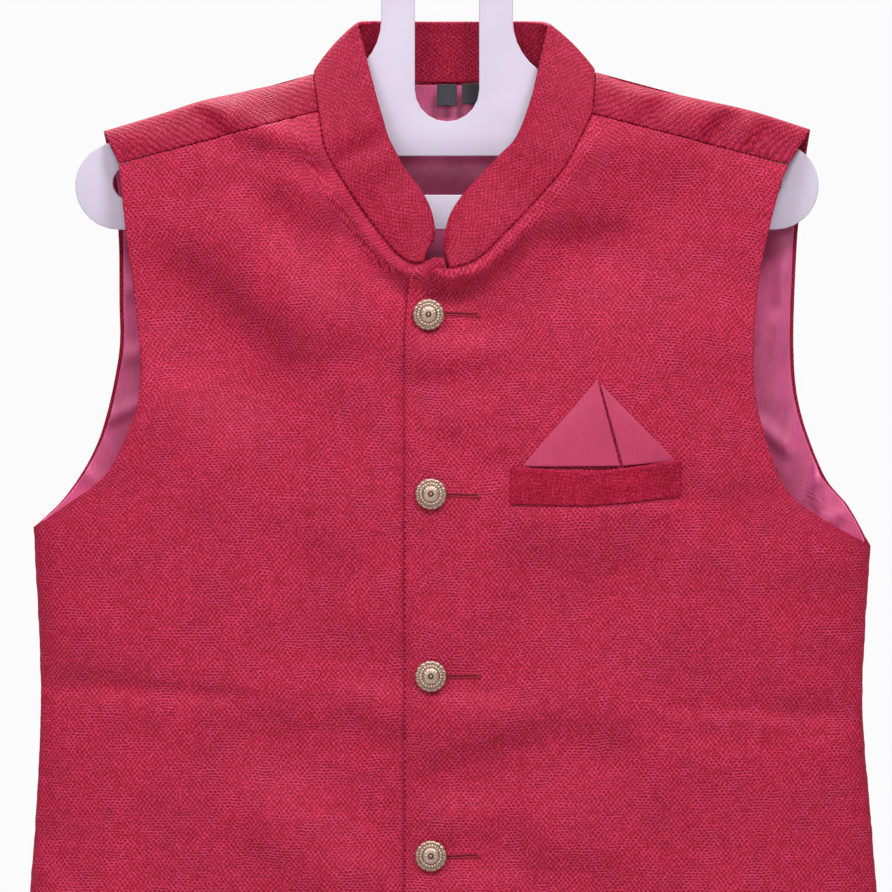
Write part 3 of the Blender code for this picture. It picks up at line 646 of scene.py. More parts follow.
def edge_waves(grid, found, on_side, height, length, reach, seed):
    """Push a sheet in and out beside its first row or, on_side, beside its last column, as sewing does."""
    turned = grid.transpose(1, 0, 2)[::-1] if on_side else grid
    run = run_lengths(step_lengths(turned[0]))
    away = run_lengths(step_lengths(turned))
    rng = np.random.default_rng(seed)
    wave = sum(np.sin(2.0 * math.pi * run / (length * k) + rng.uniform(0.0, 6.3)) for k in WAVE_LENGTHS)
    push = height * (wave / len(WAVE_LENGTHS)) * bell(away, reach)
    if on_side:
        push = push[::-1].T
    return grid + found * push[..., None]


# ---------------------------------------------------------------- meshes

def mesh_object(name, vertices, faces, finish, uv=None, shade=None):
    """Closed object from points in millimetres, with a place on the flat cloth and a shade for each point."""
    mesh = bpy.data.meshes.new(name)
    mesh.from_pydata((np.asarray(vertices, float) * MM).tolist(), [], faces)
    corner = np.empty(len(mesh.loops), np.int32)
    mesh.loops.foreach_get("vertex_index", corner)
    if uv is not None:
        layer = mesh.uv_layers.new(name="cloth")
        layer.data.foreach_set("uv", (np.asarray(uv, float)[corner] * MM).ravel())
    if shade is not None:
        attribute = mesh.attributes.new("shade", "FLOAT", "POINT")
        attribute.data.foreach_set("value", np.asarray(shade, float))
    bm = bmesh.new()
    bm.from_mesh(mesh)
    bmesh.ops.remove_doubles(bm, verts=bm.verts, dist=0.000001)
    bmesh.ops.recalc_face_normals(bm, faces=bm.faces)
    bm.to_mesh(mesh)
    bm.free()
    mesh.shade_smooth()
    mesh.materials.append(finish)
    made = bpy.data.objects.new(name, mesh)
    bpy.context.scene.collection.objects.link(made)
    return made


# An edge point moves in by this share of the way to its neighbour at most
MOST_PULL = 0.6


def pulls(grid, open_from, radius):
    """How far each edge point of a sheet moves in, so that its edge can be round."""
    moved = np.zeros_like(grid)

    def towards(index, neighbour):
        step = grid[neighbour] - grid[index]
        length = np.linalg.norm(step, axis=-1, keepdims=True)
        moved[index] += unit(step) * np.minimum(radius, MOST_PULL * length)

    closed = slice(0, open_from)
    towards((0,), (1,))
    towards((-1,), (-2,))
    towards((slice(None), -1), (slice(None), -2))
    towards((closed, 0), (closed, 1))
    if open_from is not None:
        towards((slice(open_from, open_from + 1), 0), (slice(open_from + 1, open_from + 2), 0))
    return moved


# Angles of the rows of points round a sheet's edge, between its two skins
EDGE_TURNS = (45.0, 90.0, 135.0)


def sheet_parts(grid, found, uv, outer, thickness, open_from=None):
    """Points, places on the cloth and faces of one sheet: two skins joined by a round edge.

    Rows from open_from down have no edge on their first column, where the other half joins them.
    """
    rows, columns, _ = grid.shape
    count = rows * columns
    radius = thickness / 2
    pull = pulls(grid, open_from, radius)
    skin = grid + pull - found * outer
    under = grid + pull - found * (outer + thickness)
    edge = [(c, c + 1) for c in range(columns - 1)]
    edge += [((rows - 1) * columns + c, (rows - 1) * columns + c + 1) for c in range(columns - 1)]
    edge += [(r * columns + columns - 1, (r + 1) * columns + columns - 1) for r in range(rows - 1)]
    edge += [(r * columns, (r + 1) * columns) for r in range(rows - 1 if open_from is None else open_from)]
    ends = sorted({k for pair in edge for k in pair})
    flat, flat_pull, flat_found = (a.reshape(-1, 3)[ends] for a in (grid, pull, found))
    points = [skin.reshape(-1, 3), under.reshape(-1, 3)]
    for turn in EDGE_TURNS:
        a = math.radians(turn)
        depth = outer + thickness * (1.0 - math.cos(a)) / 2
        points.append(flat + flat_pull * (1.0 - math.sin(a)) - flat_found * depth)
    uvs = [uv.reshape(-1, 2)] * 2 + [uv.reshape(-1, 2)[ends]] * len(EDGE_TURNS)
    faces = []
    for r in range(rows - 1):
        for c in range(columns - 1):
            a = r * columns + c
            faces.append((a, a + 1, a + columns + 1, a + columns))
            faces.append((count + a, count + a + columns, count + a + columns + 1, count + a + 1))
    around = {}
    for n, k in enumerate(ends):
        between = [2 * count + n + len(ends) * turn for turn in range(len(EDGE_TURNS))]
        around[k] = [k] + between + [count + k]
    for a, b in edge:
        left, right = around[a], around[b]
        faces.extend(zip(left, right, right[1:], left[1:]))
    return np.vstack(points), np.vstack(uvs), faces


def tube_faces(base, rings, sides):
    """Faces between rings of points that follow each other."""
    faces = []
    for ring in range(base, base + (rings - 1) * sides, sides):
        for k in range(sides):
            a, b = ring + k, ring + (k + 1) % sides
            faces.append((a, b, b + sides, a + sides))
    return faces


def sheet(name, grid, found, uv, thickness, finish, outer=0.0):
    """Object of one sheet of cloth."""
    points, uvs, faces = sheet_parts(grid, found, uv, outer, thickness)
    return mesh_object(name, points, faces, finish, uv=uvs)


def joined_sheets(name, halves, thickness, finish, outer=0.0):
    """Object of two sheets that share their first column from a row down. halves: grid, normals, uv, row."""
    (right, first, _, row), (left, second, _, _) = halves
    shared = unit(first[row:, 0] + second[row:, 0])
    line = (right[row:, 0] + left[row:, 0]) / 2
    all_points, all_uvs, all_faces = [], [], []
    for grid, found, uv, open_from in halves:
        found[open_from:, 0] = shared
        grid[open_from:, 0] = line
        points, uvs, faces = sheet_parts(grid, found, uv, outer, thickness, open_from)
        base = sum(len(block) for block in all_points)
        all_points.append(points)
        all_uvs.append(uvs)
        all_faces.extend(tuple(base + k for k in corners) for corners in faces)
    return mesh_object(name, np.vstack(all_points), all_faces, finish, uv=np.vstack(all_uvs))


# ---------------------------------------------------------------- materials

class Graph:
    """Short way to write the nodes of one material."""

    def __init__(self, name, colour, roughness, metallic=0.0, **constants):
        self.material = bpy.data.materials.new(name)
        self.material.use_nodes = True
        self.tree = self.material.node_tree
        self.shader = self.tree.nodes["Principled BSDF"]
        self.set("Base Color", (*colour, 1.0))
        self.set("Roughness", roughness)
        self.set("Metallic", metallic)
        for socket, value in constants.items():
            self.set(socket.replace("_", " "), value)

    def set(self, socket, value):
        """Value of one of the shader's own sockets."""
        self.shader.inputs[socket].default_value = value

    def node(self, kind, inputs=(), **settings):
        """New node; inputs are (socket, value or output)."""
        made = self.tree.nodes.new(kind)
        for key, value in settings.items():
            setattr(made, key, value)
        for socket, value in inputs:
            if isinstance(value, bpy.types.NodeSocket):
                self.tree.links.new(value, made.inputs[socket])
            else:
                made.inputs[socket].default_value = value
        return made

    def math(self, operation, a, b=0.0, c=0.0):
        """Output of a sum on numbers."""
        return self.node("ShaderNodeMath", ((0, a), (1, b), (2, c)), operation=operation).outputs[0]

    def vector(self, operation, *inputs):
        """Output of a sum on vectors."""
        return self.node("ShaderNodeVectorMath", inputs, operation=operation).outputs[0]

    def times(self, a, b, plus=None):
        """Output of a times b, and plus something where it is given."""
        if plus is None:
            return self.math("MULTIPLY", a, b)
        return self.math("MULTIPLY_ADD", a, b, plus)

    def place(self):
        """Place on the object, in metres."""
        return self.node("ShaderNodeTexCoord").outputs["Object"]

    def cloth_uv(self, wander, wander_size):
        """Place on the flat cloth in millimetres, and its u and v with threads that wander a little."""
        uv = self.node("ShaderNodeUVMap", uv_map="cloth").outputs[0]
        flat = self.vector("SCALE", (0, uv), (3, 1.0 / MM))
        inputs = (("Vector", flat), ("Scale", 1.0 / wander_size), ("Detail", 1.0))
        noise = self.node("ShaderNodeTexNoise", inputs)
        shift = self.vector("SUBTRACT", (0, noise.outputs["Color"]), (1, (0.5, 0.5, 0.5)))
        moved = self.vector("MULTIPLY_ADD", (0, shift), (1, (wander,) * 3), (2, flat))
        parts = self.node("ShaderNodeSeparateXYZ", ((0, moved),))
        return flat, parts.outputs[0], parts.outputs[1]

    def wave(self, place, length, start=0.0):
        """Cosine of a place, with this length."""
        return self.math("COSINE", self.times(place, 2.0 * math.pi / length, start))

    def noise(self, place, size, detail=2.0, roughness=0.5):
        """Soft noise from 0 to 1, with spots of this size."""
        inputs = (("Vector", place), ("Scale", 1.0 / size), ("Detail", detail), ("Roughness", roughness))
        return self.node("ShaderNodeTexNoise", inputs).outputs["Fac"]

    def ramp(self, factor, stops):
        """Colours between stops: (position, (r, g, b))."""
        made = self.node("ShaderNodeValToRGB", (("Fac", factor),))
        elements = made.color_ramp.elements
        for element, (position, colour) in zip(elements, (stops[0], stops[-1])):
            element.position = position
            element.color = (*colour, 1.0)
        for position, colour in stops[1:-1]:
            element = elements.new(position)
            element.color = (*colour, 1.0)
        return made.outputs["Color"]

    def tone(self, colour, factor, low, high):
        """The colour, darker or lighter as the factor goes from 0 to 1."""
        level = self.node("ShaderNodeMapRange", (("Value", factor), ("To Min", low), ("To Max", high)))
        return self.vector("SCALE", (0, colour), (3, level.outputs["Result"]))

    def finish(self, colour=None, roughness=None, height_mm=None):
        """Link what varies over the surface, and give the material."""
        if colour is not None:
            self.tree.links.new(colour, self.shader.inputs["Base Color"])
        if roughness is not None:
            self.tree.links.new(roughness, self.shader.inputs["Roughness"])
        if height_mm is not None:
            bump = self.node("ShaderNodeBump", (("Height", height_mm), ("Strength", 1.0), ("Distance", MM)))
            self.tree.links.new(bump.outputs[0], self.shader.inputs["Normal"])
        return self.material


# Hopsack: repeat of its dots and pitch of its threads, across and up in mm, and its crimsons
HOPSACK = (2.8, 3.46)
HOPSACK_THREAD = (0.7, 0.865)
CLOTH_DARK = (0.205, 0.0008, 0.009)
CLOTH_MIDDLE = (0.405, 0.0028, 0.026)
CLOTH_LIGHT = (0.64, 0.034, 0.114)


def cloth_material(name, shade=1.0, contrast=1.0, shine=0.55):
    """Hopsack of two crimsons: staggered dots of paired threads that catch the light, unevenly."""
    graph = Graph(name, CLOTH_MIDDLE, 0.62, Specular_IOR_Level=shine, Specular_Tint=(1.0, 0.5, 0.74, 1.0),
                  Sheen_Weight=0.02, Sheen_Roughness=0.45, Sheen_Tint=(1.0, 0.36, 0.52, 1.0))
    flat, u, v = graph.cloth_uv(wander=2.2, wander_size=7.0)
    dots = graph.times(graph.wave(u, HOPSACK[0]), graph.wave(v, HOPSACK[1]))
    rows = graph.wave(v, HOPSACK[1] / 2, math.pi)
    up = graph.math("GREATER_THAN", dots, 0.0)
    warp = graph.times(graph.wave(u, HOPSACK_THREAD[0]), up)
    weft = graph.times(graph.wave(v, HOPSACK_THREAD[1]), graph.math("SUBTRACT", 1.0, up))
    threads = graph.math("ADD", warp, weft)
    strength = graph.times(graph.noise(flat, 5.0, detail=3.0, roughness=0.65), 2.2, -0.55)
    rowed = graph.times(graph.noise(flat, 16.0, detail=2.0), 1.6, -0.62)
    rowed = graph.times(rows, graph.math("MAXIMUM", rowed, 0.0))
    weave = graph.times(dots, strength, rowed)
    speck = graph.math("SUBTRACT", graph.noise(flat, 1.3, detail=2.0, roughness=0.75), 0.5)
    lit = graph.times(weave, 1.15 * contrast)
    lit = graph.times(threads, 0.08, lit)
    lit = graph.times(speck, 3.6, lit)
    patch = graph.math("SUBTRACT", graph.noise(flat, 6.0, detail=2.0), 0.5)
    lit = graph.times(patch, 0.9, lit)
    factor = graph.times(lit, 0.5, 0.5)
    colour = graph.ramp(factor, ((0.14, CLOTH_DARK), (0.5, CLOTH_MIDDLE), (0.88, CLOTH_LIGHT)))
    # A shade below one makes a darker copy of the same cloth: painted shade.
    colour = graph.tone(colour, graph.noise(flat, 30.0, detail=3.0), 0.80 * shade, 1.20 * shade)
    fuzz = graph.times(graph.noise(flat, 0.5, detail=3.0, roughness=0.7), 0.10)
    raised = graph.times(threads, 0.02, fuzz)
    height = graph.times(weave, 0.22 * contrast, raised)
    return graph.finish(colour, None, height)


# Lining satin: pitch of its twill in mm, and slubs to the mm, across and along its threads
SATIN_TWILL = 0.62
SATIN_SLUBS = (2.2, 0.09, 1.0)


def satin_material(name, colour, dark, sheen=0.25, roughness=0.42, uneven=0.30):
    """Smooth lining twill: fine slanting threads and slow changes of tone."""
    graph = Graph(name, colour, roughness, Specular_IOR_Level=0.45, Sheen_Weight=sheen, Sheen_Roughness=0.3,
                  Sheen_Tint=(1.0, 0.62, 0.8, 1.0), Anisotropic=0.35)
    flat, u, v = graph.cloth_uv(wander=0.8, wander_size=14.0)
    twill = graph.wave(graph.math("ADD", u, v), SATIN_TWILL)
    slub = graph.noise(graph.vector("MULTIPLY", (0, flat), (1, SATIN_SLUBS)), 1.0, detail=3.0)
    factor = graph.times(slub, 0.9, graph.times(twill, 0.10, 0.08))
    tone = graph.ramp(factor, ((0.28, dark), (0.75, colour)))
    tone = graph.tone(tone, graph.noise(flat, 20.0, detail=2.5), 1.0 - uneven, 1.0 + uneven)
    rough = graph.times(slub, 0.16, roughness - 0.08)
    height = graph.times(twill, 0.006, graph.times(slub, 0.045))
    return graph.finish(tone, rough, height)


def thread_material():
    """Crimson sewing thread, a little darker and smoother than the cloth."""
    graph = Graph("thread", (0.38, 0.008, 0.036), 0.6)
    place = graph.place()
    strands = graph.noise(place, 0.0004, detail=2.0, roughness=0.7)
    colour = graph.ramp(strands, ((0.3, (0.27, 0.003, 0.018)), (0.7, (0.46, 0.010, 0.045))))
    return graph.finish(colour, None, graph.times(strands, 0.08))


def slit_shade_material():
    """Painted shade in a buttonhole's slit: a near-black strip, a little uneven."""
    graph = Graph("slit", (0.07, 0.003, 0.010), 0.9)
    place = graph.place()
    shade_speckle = graph.noise(place, 0.0005, detail=2.0)
    return graph.finish(graph.ramp(shade_speckle, ((0.3, (0.08, 0.003, 0.012)), (0.7, (0.18, 0.008, 0.028)))))


def brass_material():
    """Antique brass: dark in the recesses, rubbed bright on what stands up."""
    graph = Graph("antique_brass", (0.36, 0.23, 0.16), 0.42, 0.75, Specular_IOR_Level=0.5)
    place = graph.place()
    shade = graph.node("ShaderNodeAttribute", attribute_name="shade").outputs["Fac"]
    stain = graph.noise(place, 0.0016, detail=3.0, roughness=0.6)
    worn = graph.times(stain, 0.35, graph.math("SUBTRACT", shade, 0.17))
    colour = graph.ramp(worn, (
        (0.15, (0.048, 0.026, 0.019)), (0.45, (0.34, 0.218, 0.160)), (0.85, (0.80, 0.60, 0.50)),
    ))
    rough = graph.times(worn, -0.20, 0.56)
    cast = graph.times(graph.noise(place, 0.0005, detail=3.0, roughness=0.6), 0.10)
    return graph.finish(colour, rough, cast)


# Pitch of the tape's threads in mm, across and up
TAPE_THREAD = (0.5, 0.42)


def tape_material():
    """Woven label tape, nearly black and bare."""
    graph = Graph("woven_tape", (0.022, 0.022, 0.026), 0.7, Sheen_Weight=0.1,
                  Sheen_Tint=(0.7, 0.72, 0.8, 1.0))
    flat, u, v = graph.cloth_uv(wander=0.1, wander_size=5.0)
    weave = graph.times(graph.wave(u, TAPE_THREAD[0]), graph.wave(v, TAPE_THREAD[1]))
    speck = graph.noise(flat, 0.6, detail=2.0)
    factor = graph.times(weave, 0.28, speck)
    colour = graph.ramp(factor, ((0.25, (0.010, 0.010, 0.013)), (0.8, (0.050, 0.050, 0.058))))
    return graph.finish(colour, None, graph.times(weave, 0.035))


# The hanger's scuffs are this much finer along x, y and z
BOARD_SCUFFS = (1.0, 1.0, 6.0)


def board_material():
    """Pale lilac moulded board with a fine grain, a little rubbed."""
    graph = Graph("hanger_board", (0.64, 0.565, 0.70), 0.45, Specular_IOR_Level=0.4)
    place = graph.place()
    cloud = graph.noise(place, 0.045, detail=3.0)
    colour = graph.ramp(cloud, ((0.3, (0.615, 0.54, 0.675)), (0.7, (0.665, 0.59, 0.725))))
    drawn = graph.vector("MULTIPLY", (0, place), (1, BOARD_SCUFFS))
    scuff = graph.noise(drawn, 0.012, detail=4.0, roughness=0.6)
    rough = graph.times(scuff, 0.22, 0.30)
    grain = graph.times(graph.noise(place, 0.0011, detail=3.0), 0.05)
    return graph.finish(colour, rough, grain)


CLOTH = cloth_material("hopsack")
# The back and its yoke over the shoulders: the same hopsack darkened to 0.74 as painted shade, since the yoke
# faces up to the lamps.
BACK_CLOTH_PAINTED_SHADE = cloth_material("hopsack_back_painted_shade", shade=0.74, contrast=1.0, shine=0.3)
# The collar: the same hopsack darkened to 0.81 as painted shade, which makes up for the neck lamp.
COLLAR_CLOTH_PAINTED_SHADE = cloth_material("hopsack_collar_painted_shade", shade=0.81, contrast=0.65, shine=0.4)
# The welt: the same hopsack darkened to 0.85 as painted shade, with less contrast and shine.
WELT_CLOTH_PAINTED_SHADE = cloth_material("hopsack_welt_painted_shade", shade=0.85, contrast=0.3, shine=0.3)
LINING_SATIN = satin_material("lining_satin", (0.74, 0.132, 0.300), (0.56, 0.078, 0.205))
SQUARE_SATIN = satin_material("square_satin", (0.54, 0.043, 0.128), (0.40, 0.028, 0.088),
                              sheen=0.1, roughness=0.5, uneven=0.12)
THREAD = thread_material()
SLIT_SHADE = slit_shade_material()
BRASS = brass_material()
TAPE = tape_material()
BOARD_FINISH = board_material()


# ---------------------------------------------------------------- pieces

def adds(piece):
    """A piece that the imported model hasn't got."""
    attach(piece, "root")


def stands_for(piece, node):
    """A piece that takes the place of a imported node."""
    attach(piece, "root")
    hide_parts(node)
    return piece


def build_front(side, node):
    """One front, with the waves of its seams."""
    grid = front_grid(side, UPPER_SPLIT, LOWER_SPLIT, FRONT_COLUMNS)
    found = normals(grid, side, -1)
    grid = edge_waves(grid, found, False, height=0.35, length=13.0, reach=6.0, seed=21)
    grid = edge_waves(grid, found, True, height=0.30, length=17.0, reach=6.0, seed=22 + side)
    uv = arc_uv(grid, side)
    made = sheet(node + "_cloth", grid, normals(grid, side, -1), uv, SHELL, CLOTH)
    return stands_for(made, node)


def back_halves(lower, columns):
    """Both half grids of the back, their normals, their uv, and the row from which they are joined."""
    joined = (len(WRAP_STEPS) - 1) * WRAP_SPLIT + len(BACK_NECK_STEPS) * BACK_NECK_SPLIT
    halves = []
    for side in (-1, 1):
        grid = back_half_grid(side, lower, columns)
        halves.append((grid, normals(grid, side, 1), arc_uv(grid, side), joined))
    return halves


def build_back():
    """The back and its two shoulder extensions."""
    halves = []
    plain = back_halves(BACK_LOWER_SPLIT, BACK_COLUMNS)
    for n, (side, (grid, found, uv, joined)) in enumerate(zip((-1, 1), plain)):
        grid = edge_waves(grid, found, False, height=0.30, length=12.0, reach=5.0, seed=31 + n)
        grid = edge_waves(grid, found, True, height=0.30, length=16.0, reach=6.0, seed=33 + n)
        halves.append((grid, normals(grid, side, 1), uv, joined))
    return stands_for(joined_sheets("back_cloth", halves, SHELL, BACK_CLOTH_PAINTED_SHADE), "back")


# Lining: how far it lies back from the armhole and the neck, and by how many rows and columns from the hem
# and the front edge; how fine its grid is; and its slack. The inset fades out in the last rows above the
# armpit.
LINING_ARM_INSET = 3.0
LINING_INSET_ROWS = 10.0
LINING_NECK_INSET = 1.0
LINING_FIRST_COLUMN = 3
LINING_FIRST_NECK_STEP = 3
LINING_HEM_ROWS = 6
LINING_SPLIT = 8
LINING_COLUMN_SPLIT = 6
LINING_EXTRA_GAP = 0.25
LINING_WAVE = 0.8
LINING_RIDGES = (  # height is towards the inside
    (-214, -300, -196, -322, 2, 4, 2),
    (-196, -222, -176, -214, 0, 5, 2.4),
    (-200, -262, -176, -254, 0, 4.5, 2.4),
    (-212, -300, -180, -286, 0, 4, 2.6),
    (-232, -322, -206, -336, 2, 3.5, 2.2),
    (200, -200, 194, -262, 2, 4, 1.5),
    (206, -300, 196, -330, 0, 4, 2.2),
    (182, -296, 206, -316, 0, 5, 2.8),
    (196, -236, 182, -248, 0, 5, 2.2),
    (221, -326, 222, -352, 0, 2.2, 3.2),
    (222, -330, 208, -348, 0, 3.5, 2.4),
    (238, -350, 216, -358, 2, 3, 2),
    (-30, -150, 34, -158, 5, 6, 2),
    (10, -104, 22, -118, 0, 4, 1.4),
)


def lining_gathers(x, z):
    """Slack of the lining, which only stands off towards the inside: its creases and small gathers."""
    slack = creases(x, z, LINING_RIDGES, ())
    waves = 0.5 + 0.5 * np.sin(x / 6.3 + 2.4 * np.sin(z / 41.0)) * np.sin(z / 27.0 + x / 90.0)
    return slack + LINING_WAVE * waves


def shortened(grid, values, inset, armpit):
    """Rows above the armpit drawn back from the armhole by an inset, on their own lines."""
    count = grid.shape[1]
    taper = np.clip((armpit - np.arange(len(grid))) / LINING_INSET_ROWS, 0.0, 1.0)
    lengths = step_lengths(grid, axis=1).sum(axis=1)
    result = values.copy()
    for r in np.nonzero(taper)[0]:
        wanted = np.arange(count) * (1.0 - inset * taper[r] / lengths[r])
        for k in range(values.shape[2]):
            result[r, :, k] = np.interp(wanted, np.arange(count), values[r, :, k])
    return result


def lining_layers(grid, found, uv, armpit):
    """Grid, normals and places of a lining, drawn back from the armhole and the hem."""
    grid_in, found_in, uv_in = (shortened(grid, a, LINING_ARM_INSET, armpit)[:-LINING_HEM_ROWS]
                                for a in (grid, found, uv))
    slack = LINING_EXTRA_GAP + lining_gathers(grid_in[..., 0], grid_in[..., 2])
    return grid_in - unit(found_in) * slack[..., None], unit(found_in), uv_in


def build_front_lining(side, node):
    """Lining of one front, from the facing to the side seam."""
    grid = front_grid(side, LINING_SPLIT, LINING_SPLIT, COLUMNS * LINING_COLUMN_SPLIT)
    armpit = (NECK_STEPS + TAB_STEPS + EDGE_STEPS) * LINING_SPLIT
    grid, found, uv = lining_layers(grid, normals(grid, side, -1), arc_uv(grid, side), armpit)
    kept = (slice(LINING_SPLIT, None), slice(LINING_FIRST_COLUMN * LINING_COLUMN_SPLIT, None))
    made = sheet(node + "_satin", grid[kept], found[kept], uv[kept], LINING, LINING_SATIN, LINING_DEPTH)
    return stands_for(made, node)


def build_back_lining():
    """Lining of the back, under the neck seam."""
    halves = []
    first = (len(WRAP_STEPS) - 1) * WRAP_SPLIT + LINING_FIRST_NECK_STEP * BACK_NECK_SPLIT
    for grid, found, uv, joined in back_halves(LINING_SPLIT, COLUMNS * LINING_COLUMN_SPLIT):
        grid[:joined + 1, 0, 2] -= LINING_NECK_INSET
        armpit = joined + BACK_MIDDLE_STEPS * LINING_SPLIT
        grid, found, uv = lining_layers(grid, found, uv, armpit)
        halves.append((grid[first:], found[first:], uv[first:], joined - first))
    made = joined_sheets("lining_back_satin", halves, LINING, LINING_SATIN, LINING_DEPTH)
    return stands_for(made, "lining_back")


# Collar: rows from the seam to the top edge, and how far it bows out and stands off at the shoulder
COLLAR_ROWS = 26
COLLAR_BOW = 1.5
COLLAR_LIFT_AT_SHOULDER = 1.5
# Dents of the collar: run is the share from its right front end to its left one, rise from seam to top
COLLAR_DENTS = (  # run, rise, run width, rise width, slant, height
    (0.196, 0.60, 0.014, 0.8, 0, -1.5),
    (0.166, 0.55, 0.020, 0.7, 0, 0.7),
    (0.226, 0.60, 0.020, 0.8, 0, 0.6),
    (0.130, 0.85, 0.022, 0.4, 0, -0.5),
    (0.085, 0.40, 0.030, 0.6, 0, 0.5),
    (0.862, 0.60, 0.026, 0.9, 0, -1.2),
    (0.803, 0.60, 0.026, 0.9, 0, 1.3),
    (0.920, 0.50, 0.030, 0.7, 0, 0.4),
    (0.400, 0.50, 0.040, 0.9, 0, 0.5),
    (0.470, 0.50, 0.020, 0.9, 0.01, -0.5),
    (0.580, 0.50, 0.050, 0.9, 0, -0.6),
)


def collar_half(side):
    """Seam and top edge of half of the collar, from its front end to the centre back, as x, y, z, x, y, z."""
    front = front_neck(side, UPPER_SPLIT)
    back = back_neck(side)
    wrap = wrap_grid(side, COLUMNS)[1:-1, 0]
    share = 1.0 - split(WRAP_STEPS, WRAP_SPLIT)[1:-1]
    tops = front[-1, 2:] + (back[0, 2:] - front[-1, 2:]) * share[:, None]
    front_y = cloth_y(front[:, 0], front[:, 1], -1) - (overlap_raise(front[:, 0]) if side > 0 else 0.0)
    back_y = cloth_y(back[:, 0], back[:, 1], 1)
    back_y[0] = 0.0
    return np.vstack([
        np.column_stack([front[:, 0], front_y, front[:, 1:]]),
        np.column_stack([wrap, tops]),
        np.column_stack([back[:, 0], back_y, back[:, 1:]]),
    ])


def build_collar():
    """Stand collar: a bowed, padded band between the neck seam and its top edge, with soft dents."""
    right = collar_half(-1)
    left = collar_half(1)[::-1]
    middle = len(right) - 1
    band = np.vstack([right, left[1:]])
    seam, top = band[:, :3], band[:, 3:]
    rise = unit(top - seam)
    run = tangents(seam[:, None, :], 0)[:, 0, :]
    out = unit(np.cross(run, rise))
    out *= np.sign(out[middle, 1])
    turned = 1.0 - np.abs(out[:, 1:2])
    start = seam + rise * COLLAR_LIFT_AT_SHOULDER * turned - out * SHELL / 2
    steps = np.linspace(0.0, 1.0, COLLAR_ROWS + 1)[:, None, None]
    share = np.linspace(0.0, 1.0, len(band))[None, :]
    dents = np.zeros((COLLAR_ROWS + 1, len(band)))
    for at, rise_at, width, rise_width, slant, height in COLLAR_DENTS:
        line = at + slant * (steps[:, :, 0] - rise_at)
        away = ((share - line) / width) ** 2
        dents += height * np.exp(-away - ((steps[:, :, 0] - rise_at) / rise_width) ** 2)
    arch = 4.0 * steps * (1.0 - steps)
    bow = COLLAR_BOW * arch + dents[..., None] * np.sqrt(np.clip(arch, 0.0, 1.0))
    grid = start + (top - start) * steps + out * bow
    found = unit(np.cross(tangents(grid, 1), tangents(grid, 0)))
    found *= np.sign(found[0, middle, 1])
    height = np.linalg.norm(grid - grid[:1], axis=2)
    length = np.broadcast_to(run_lengths(step_lengths(grid[COLLAR_ROWS // 2])), height.shape)
    uv = np.stack([height, length], axis=-1)
    made = sheet("collar_cloth", grid, found, uv, COLLAR, COLLAR_CLOTH_PAINTED_SHADE, -COLLAR / 2)
    return stands_for(made, "collar")


def surface_probe(panel):
    """Function that gives the height of a panel's outer face at x, z, read from its own mesh."""
    tree = BVHTree.FromPolygons([v.co for v in panel.data.vertices],
                                [tuple(p.vertices) for p in panel.data.polygons])

    def probe(x, z):
        hit = tree.ray_cast((x * MM, -1.0, z * MM), (0.0, 1.0, 0.0))[0]
        return hit[1] / MM
    return np.vectorize(probe)


def flat_normals(grid):
    """Normals of a grid that lies on the front."""
    found = unit(np.cross(tangents(grid, 0), tangents(grid, 1)))
    return found * -np.sign(found[..., 1:2])


# Chest pocket on the left front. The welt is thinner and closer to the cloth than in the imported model,
# and it sags, less at its bottom edge than at its top. Its cloth is cut on the slant, at 45 degrees. Its
# ends are sewn down over a share of its length, and its top edge is rolled and a little wavy.
WELT_TOP = ((37.6, -324.0), (137.6, -319.9))
WELT_BOTTOM = ((37.0, -346.3), (137.6, -341.6))
WELT = 1.0
WELT_SAG = 4.3
WELT_LESS_SAG = 0.35
WELT_STAND_OFF = 2.0
WELT_END = 0.06
WELT_END_STAND_OFF = 0.25
WELT_ROLL = 0.45
WELT_WAVE = 0.35
WELT_SLANT = 0.707
WELT_COLUMNS = 80
WELT_ROWS = 20
LAID_GAP = 0.15
SQUARE_APEX = (88.4, -272.9)
SQUARE_LEFT = (43.9, -324.2)
SQUARE_FOLD = (101.6, -323.8)
SQUARE_RIGHT = (134.9, -321.0)
SQUARE_SLIT = 1.9
SQUARE_THICK = 0.7
# Steps of a flap's grid each way, and where it starts below the tip, as a share of the flap
SQUARE_STEPS = 44
SQUARE_TIP = 0.012
# Lift of each flap off the cloth: everywhere, what its free corner adds, and what its middle adds
SQUARE_FRONT_LIFT = (1.3, 0.6, 0.6)
SQUARE_REAR_LIFT = (1.2, 0.3, 0.5)


def build_welt(probe):
    """Welt of the chest pocket: its top edge stands off a little and sags, its ends are sewn down."""
    u = np.linspace(0.0, 1.0, WELT_COLUMNS + 1)[None, :]
    v = np.linspace(0.0, 1.0, WELT_ROWS + 1)[:, None]
    (tx0, tz0), (tx1, tz1) = WELT_TOP
    (bx0, bz0), (bx1, bz1) = WELT_BOTTOM
    x = (1 - v) * (tx0 + (tx1 - tx0) * u) + v * (bx0 + (bx1 - bx0) * u)
    z = (1 - v) * (tz0 + (tz1 - tz0) * u) + v * (bz0 + (bz1 - bz0) * u)
    z = z - WELT_SAG * np.sin(math.pi * u) ** 1.3 * (1.0 - WELT_LESS_SAG * v)
    ends = np.clip(np.minimum(u, 1.0 - u) / WELT_END, 0.0, 1.0)
    ends = WELT_END_STAND_OFF + (1.0 - WELT_END_STAND_OFF) * ends
    stand_off = LAID_GAP + WELT_STAND_OFF * (1.0 - v) ** 0.8 * ends
    roll = WELT_ROLL * bell(v - 0.10, 0.07) + WELT_WAVE * np.sin(9.0 * u + 4.0 * v) * v * (1.0 - v)
    grid = np.stack([x, probe(x, z) - stand_off - WELT - roll, z], axis=-1)
    uv = np.stack([x * WELT_SLANT + z * WELT_SLANT, x * WELT_SLANT - z * WELT_SLANT], axis=-1)
    made = sheet("pocket_welt_cloth", grid, flat_normals(grid), uv, WELT, WELT_CLOTH_PAINTED_SHADE)
    return stands_for(made, "pocket_welt")


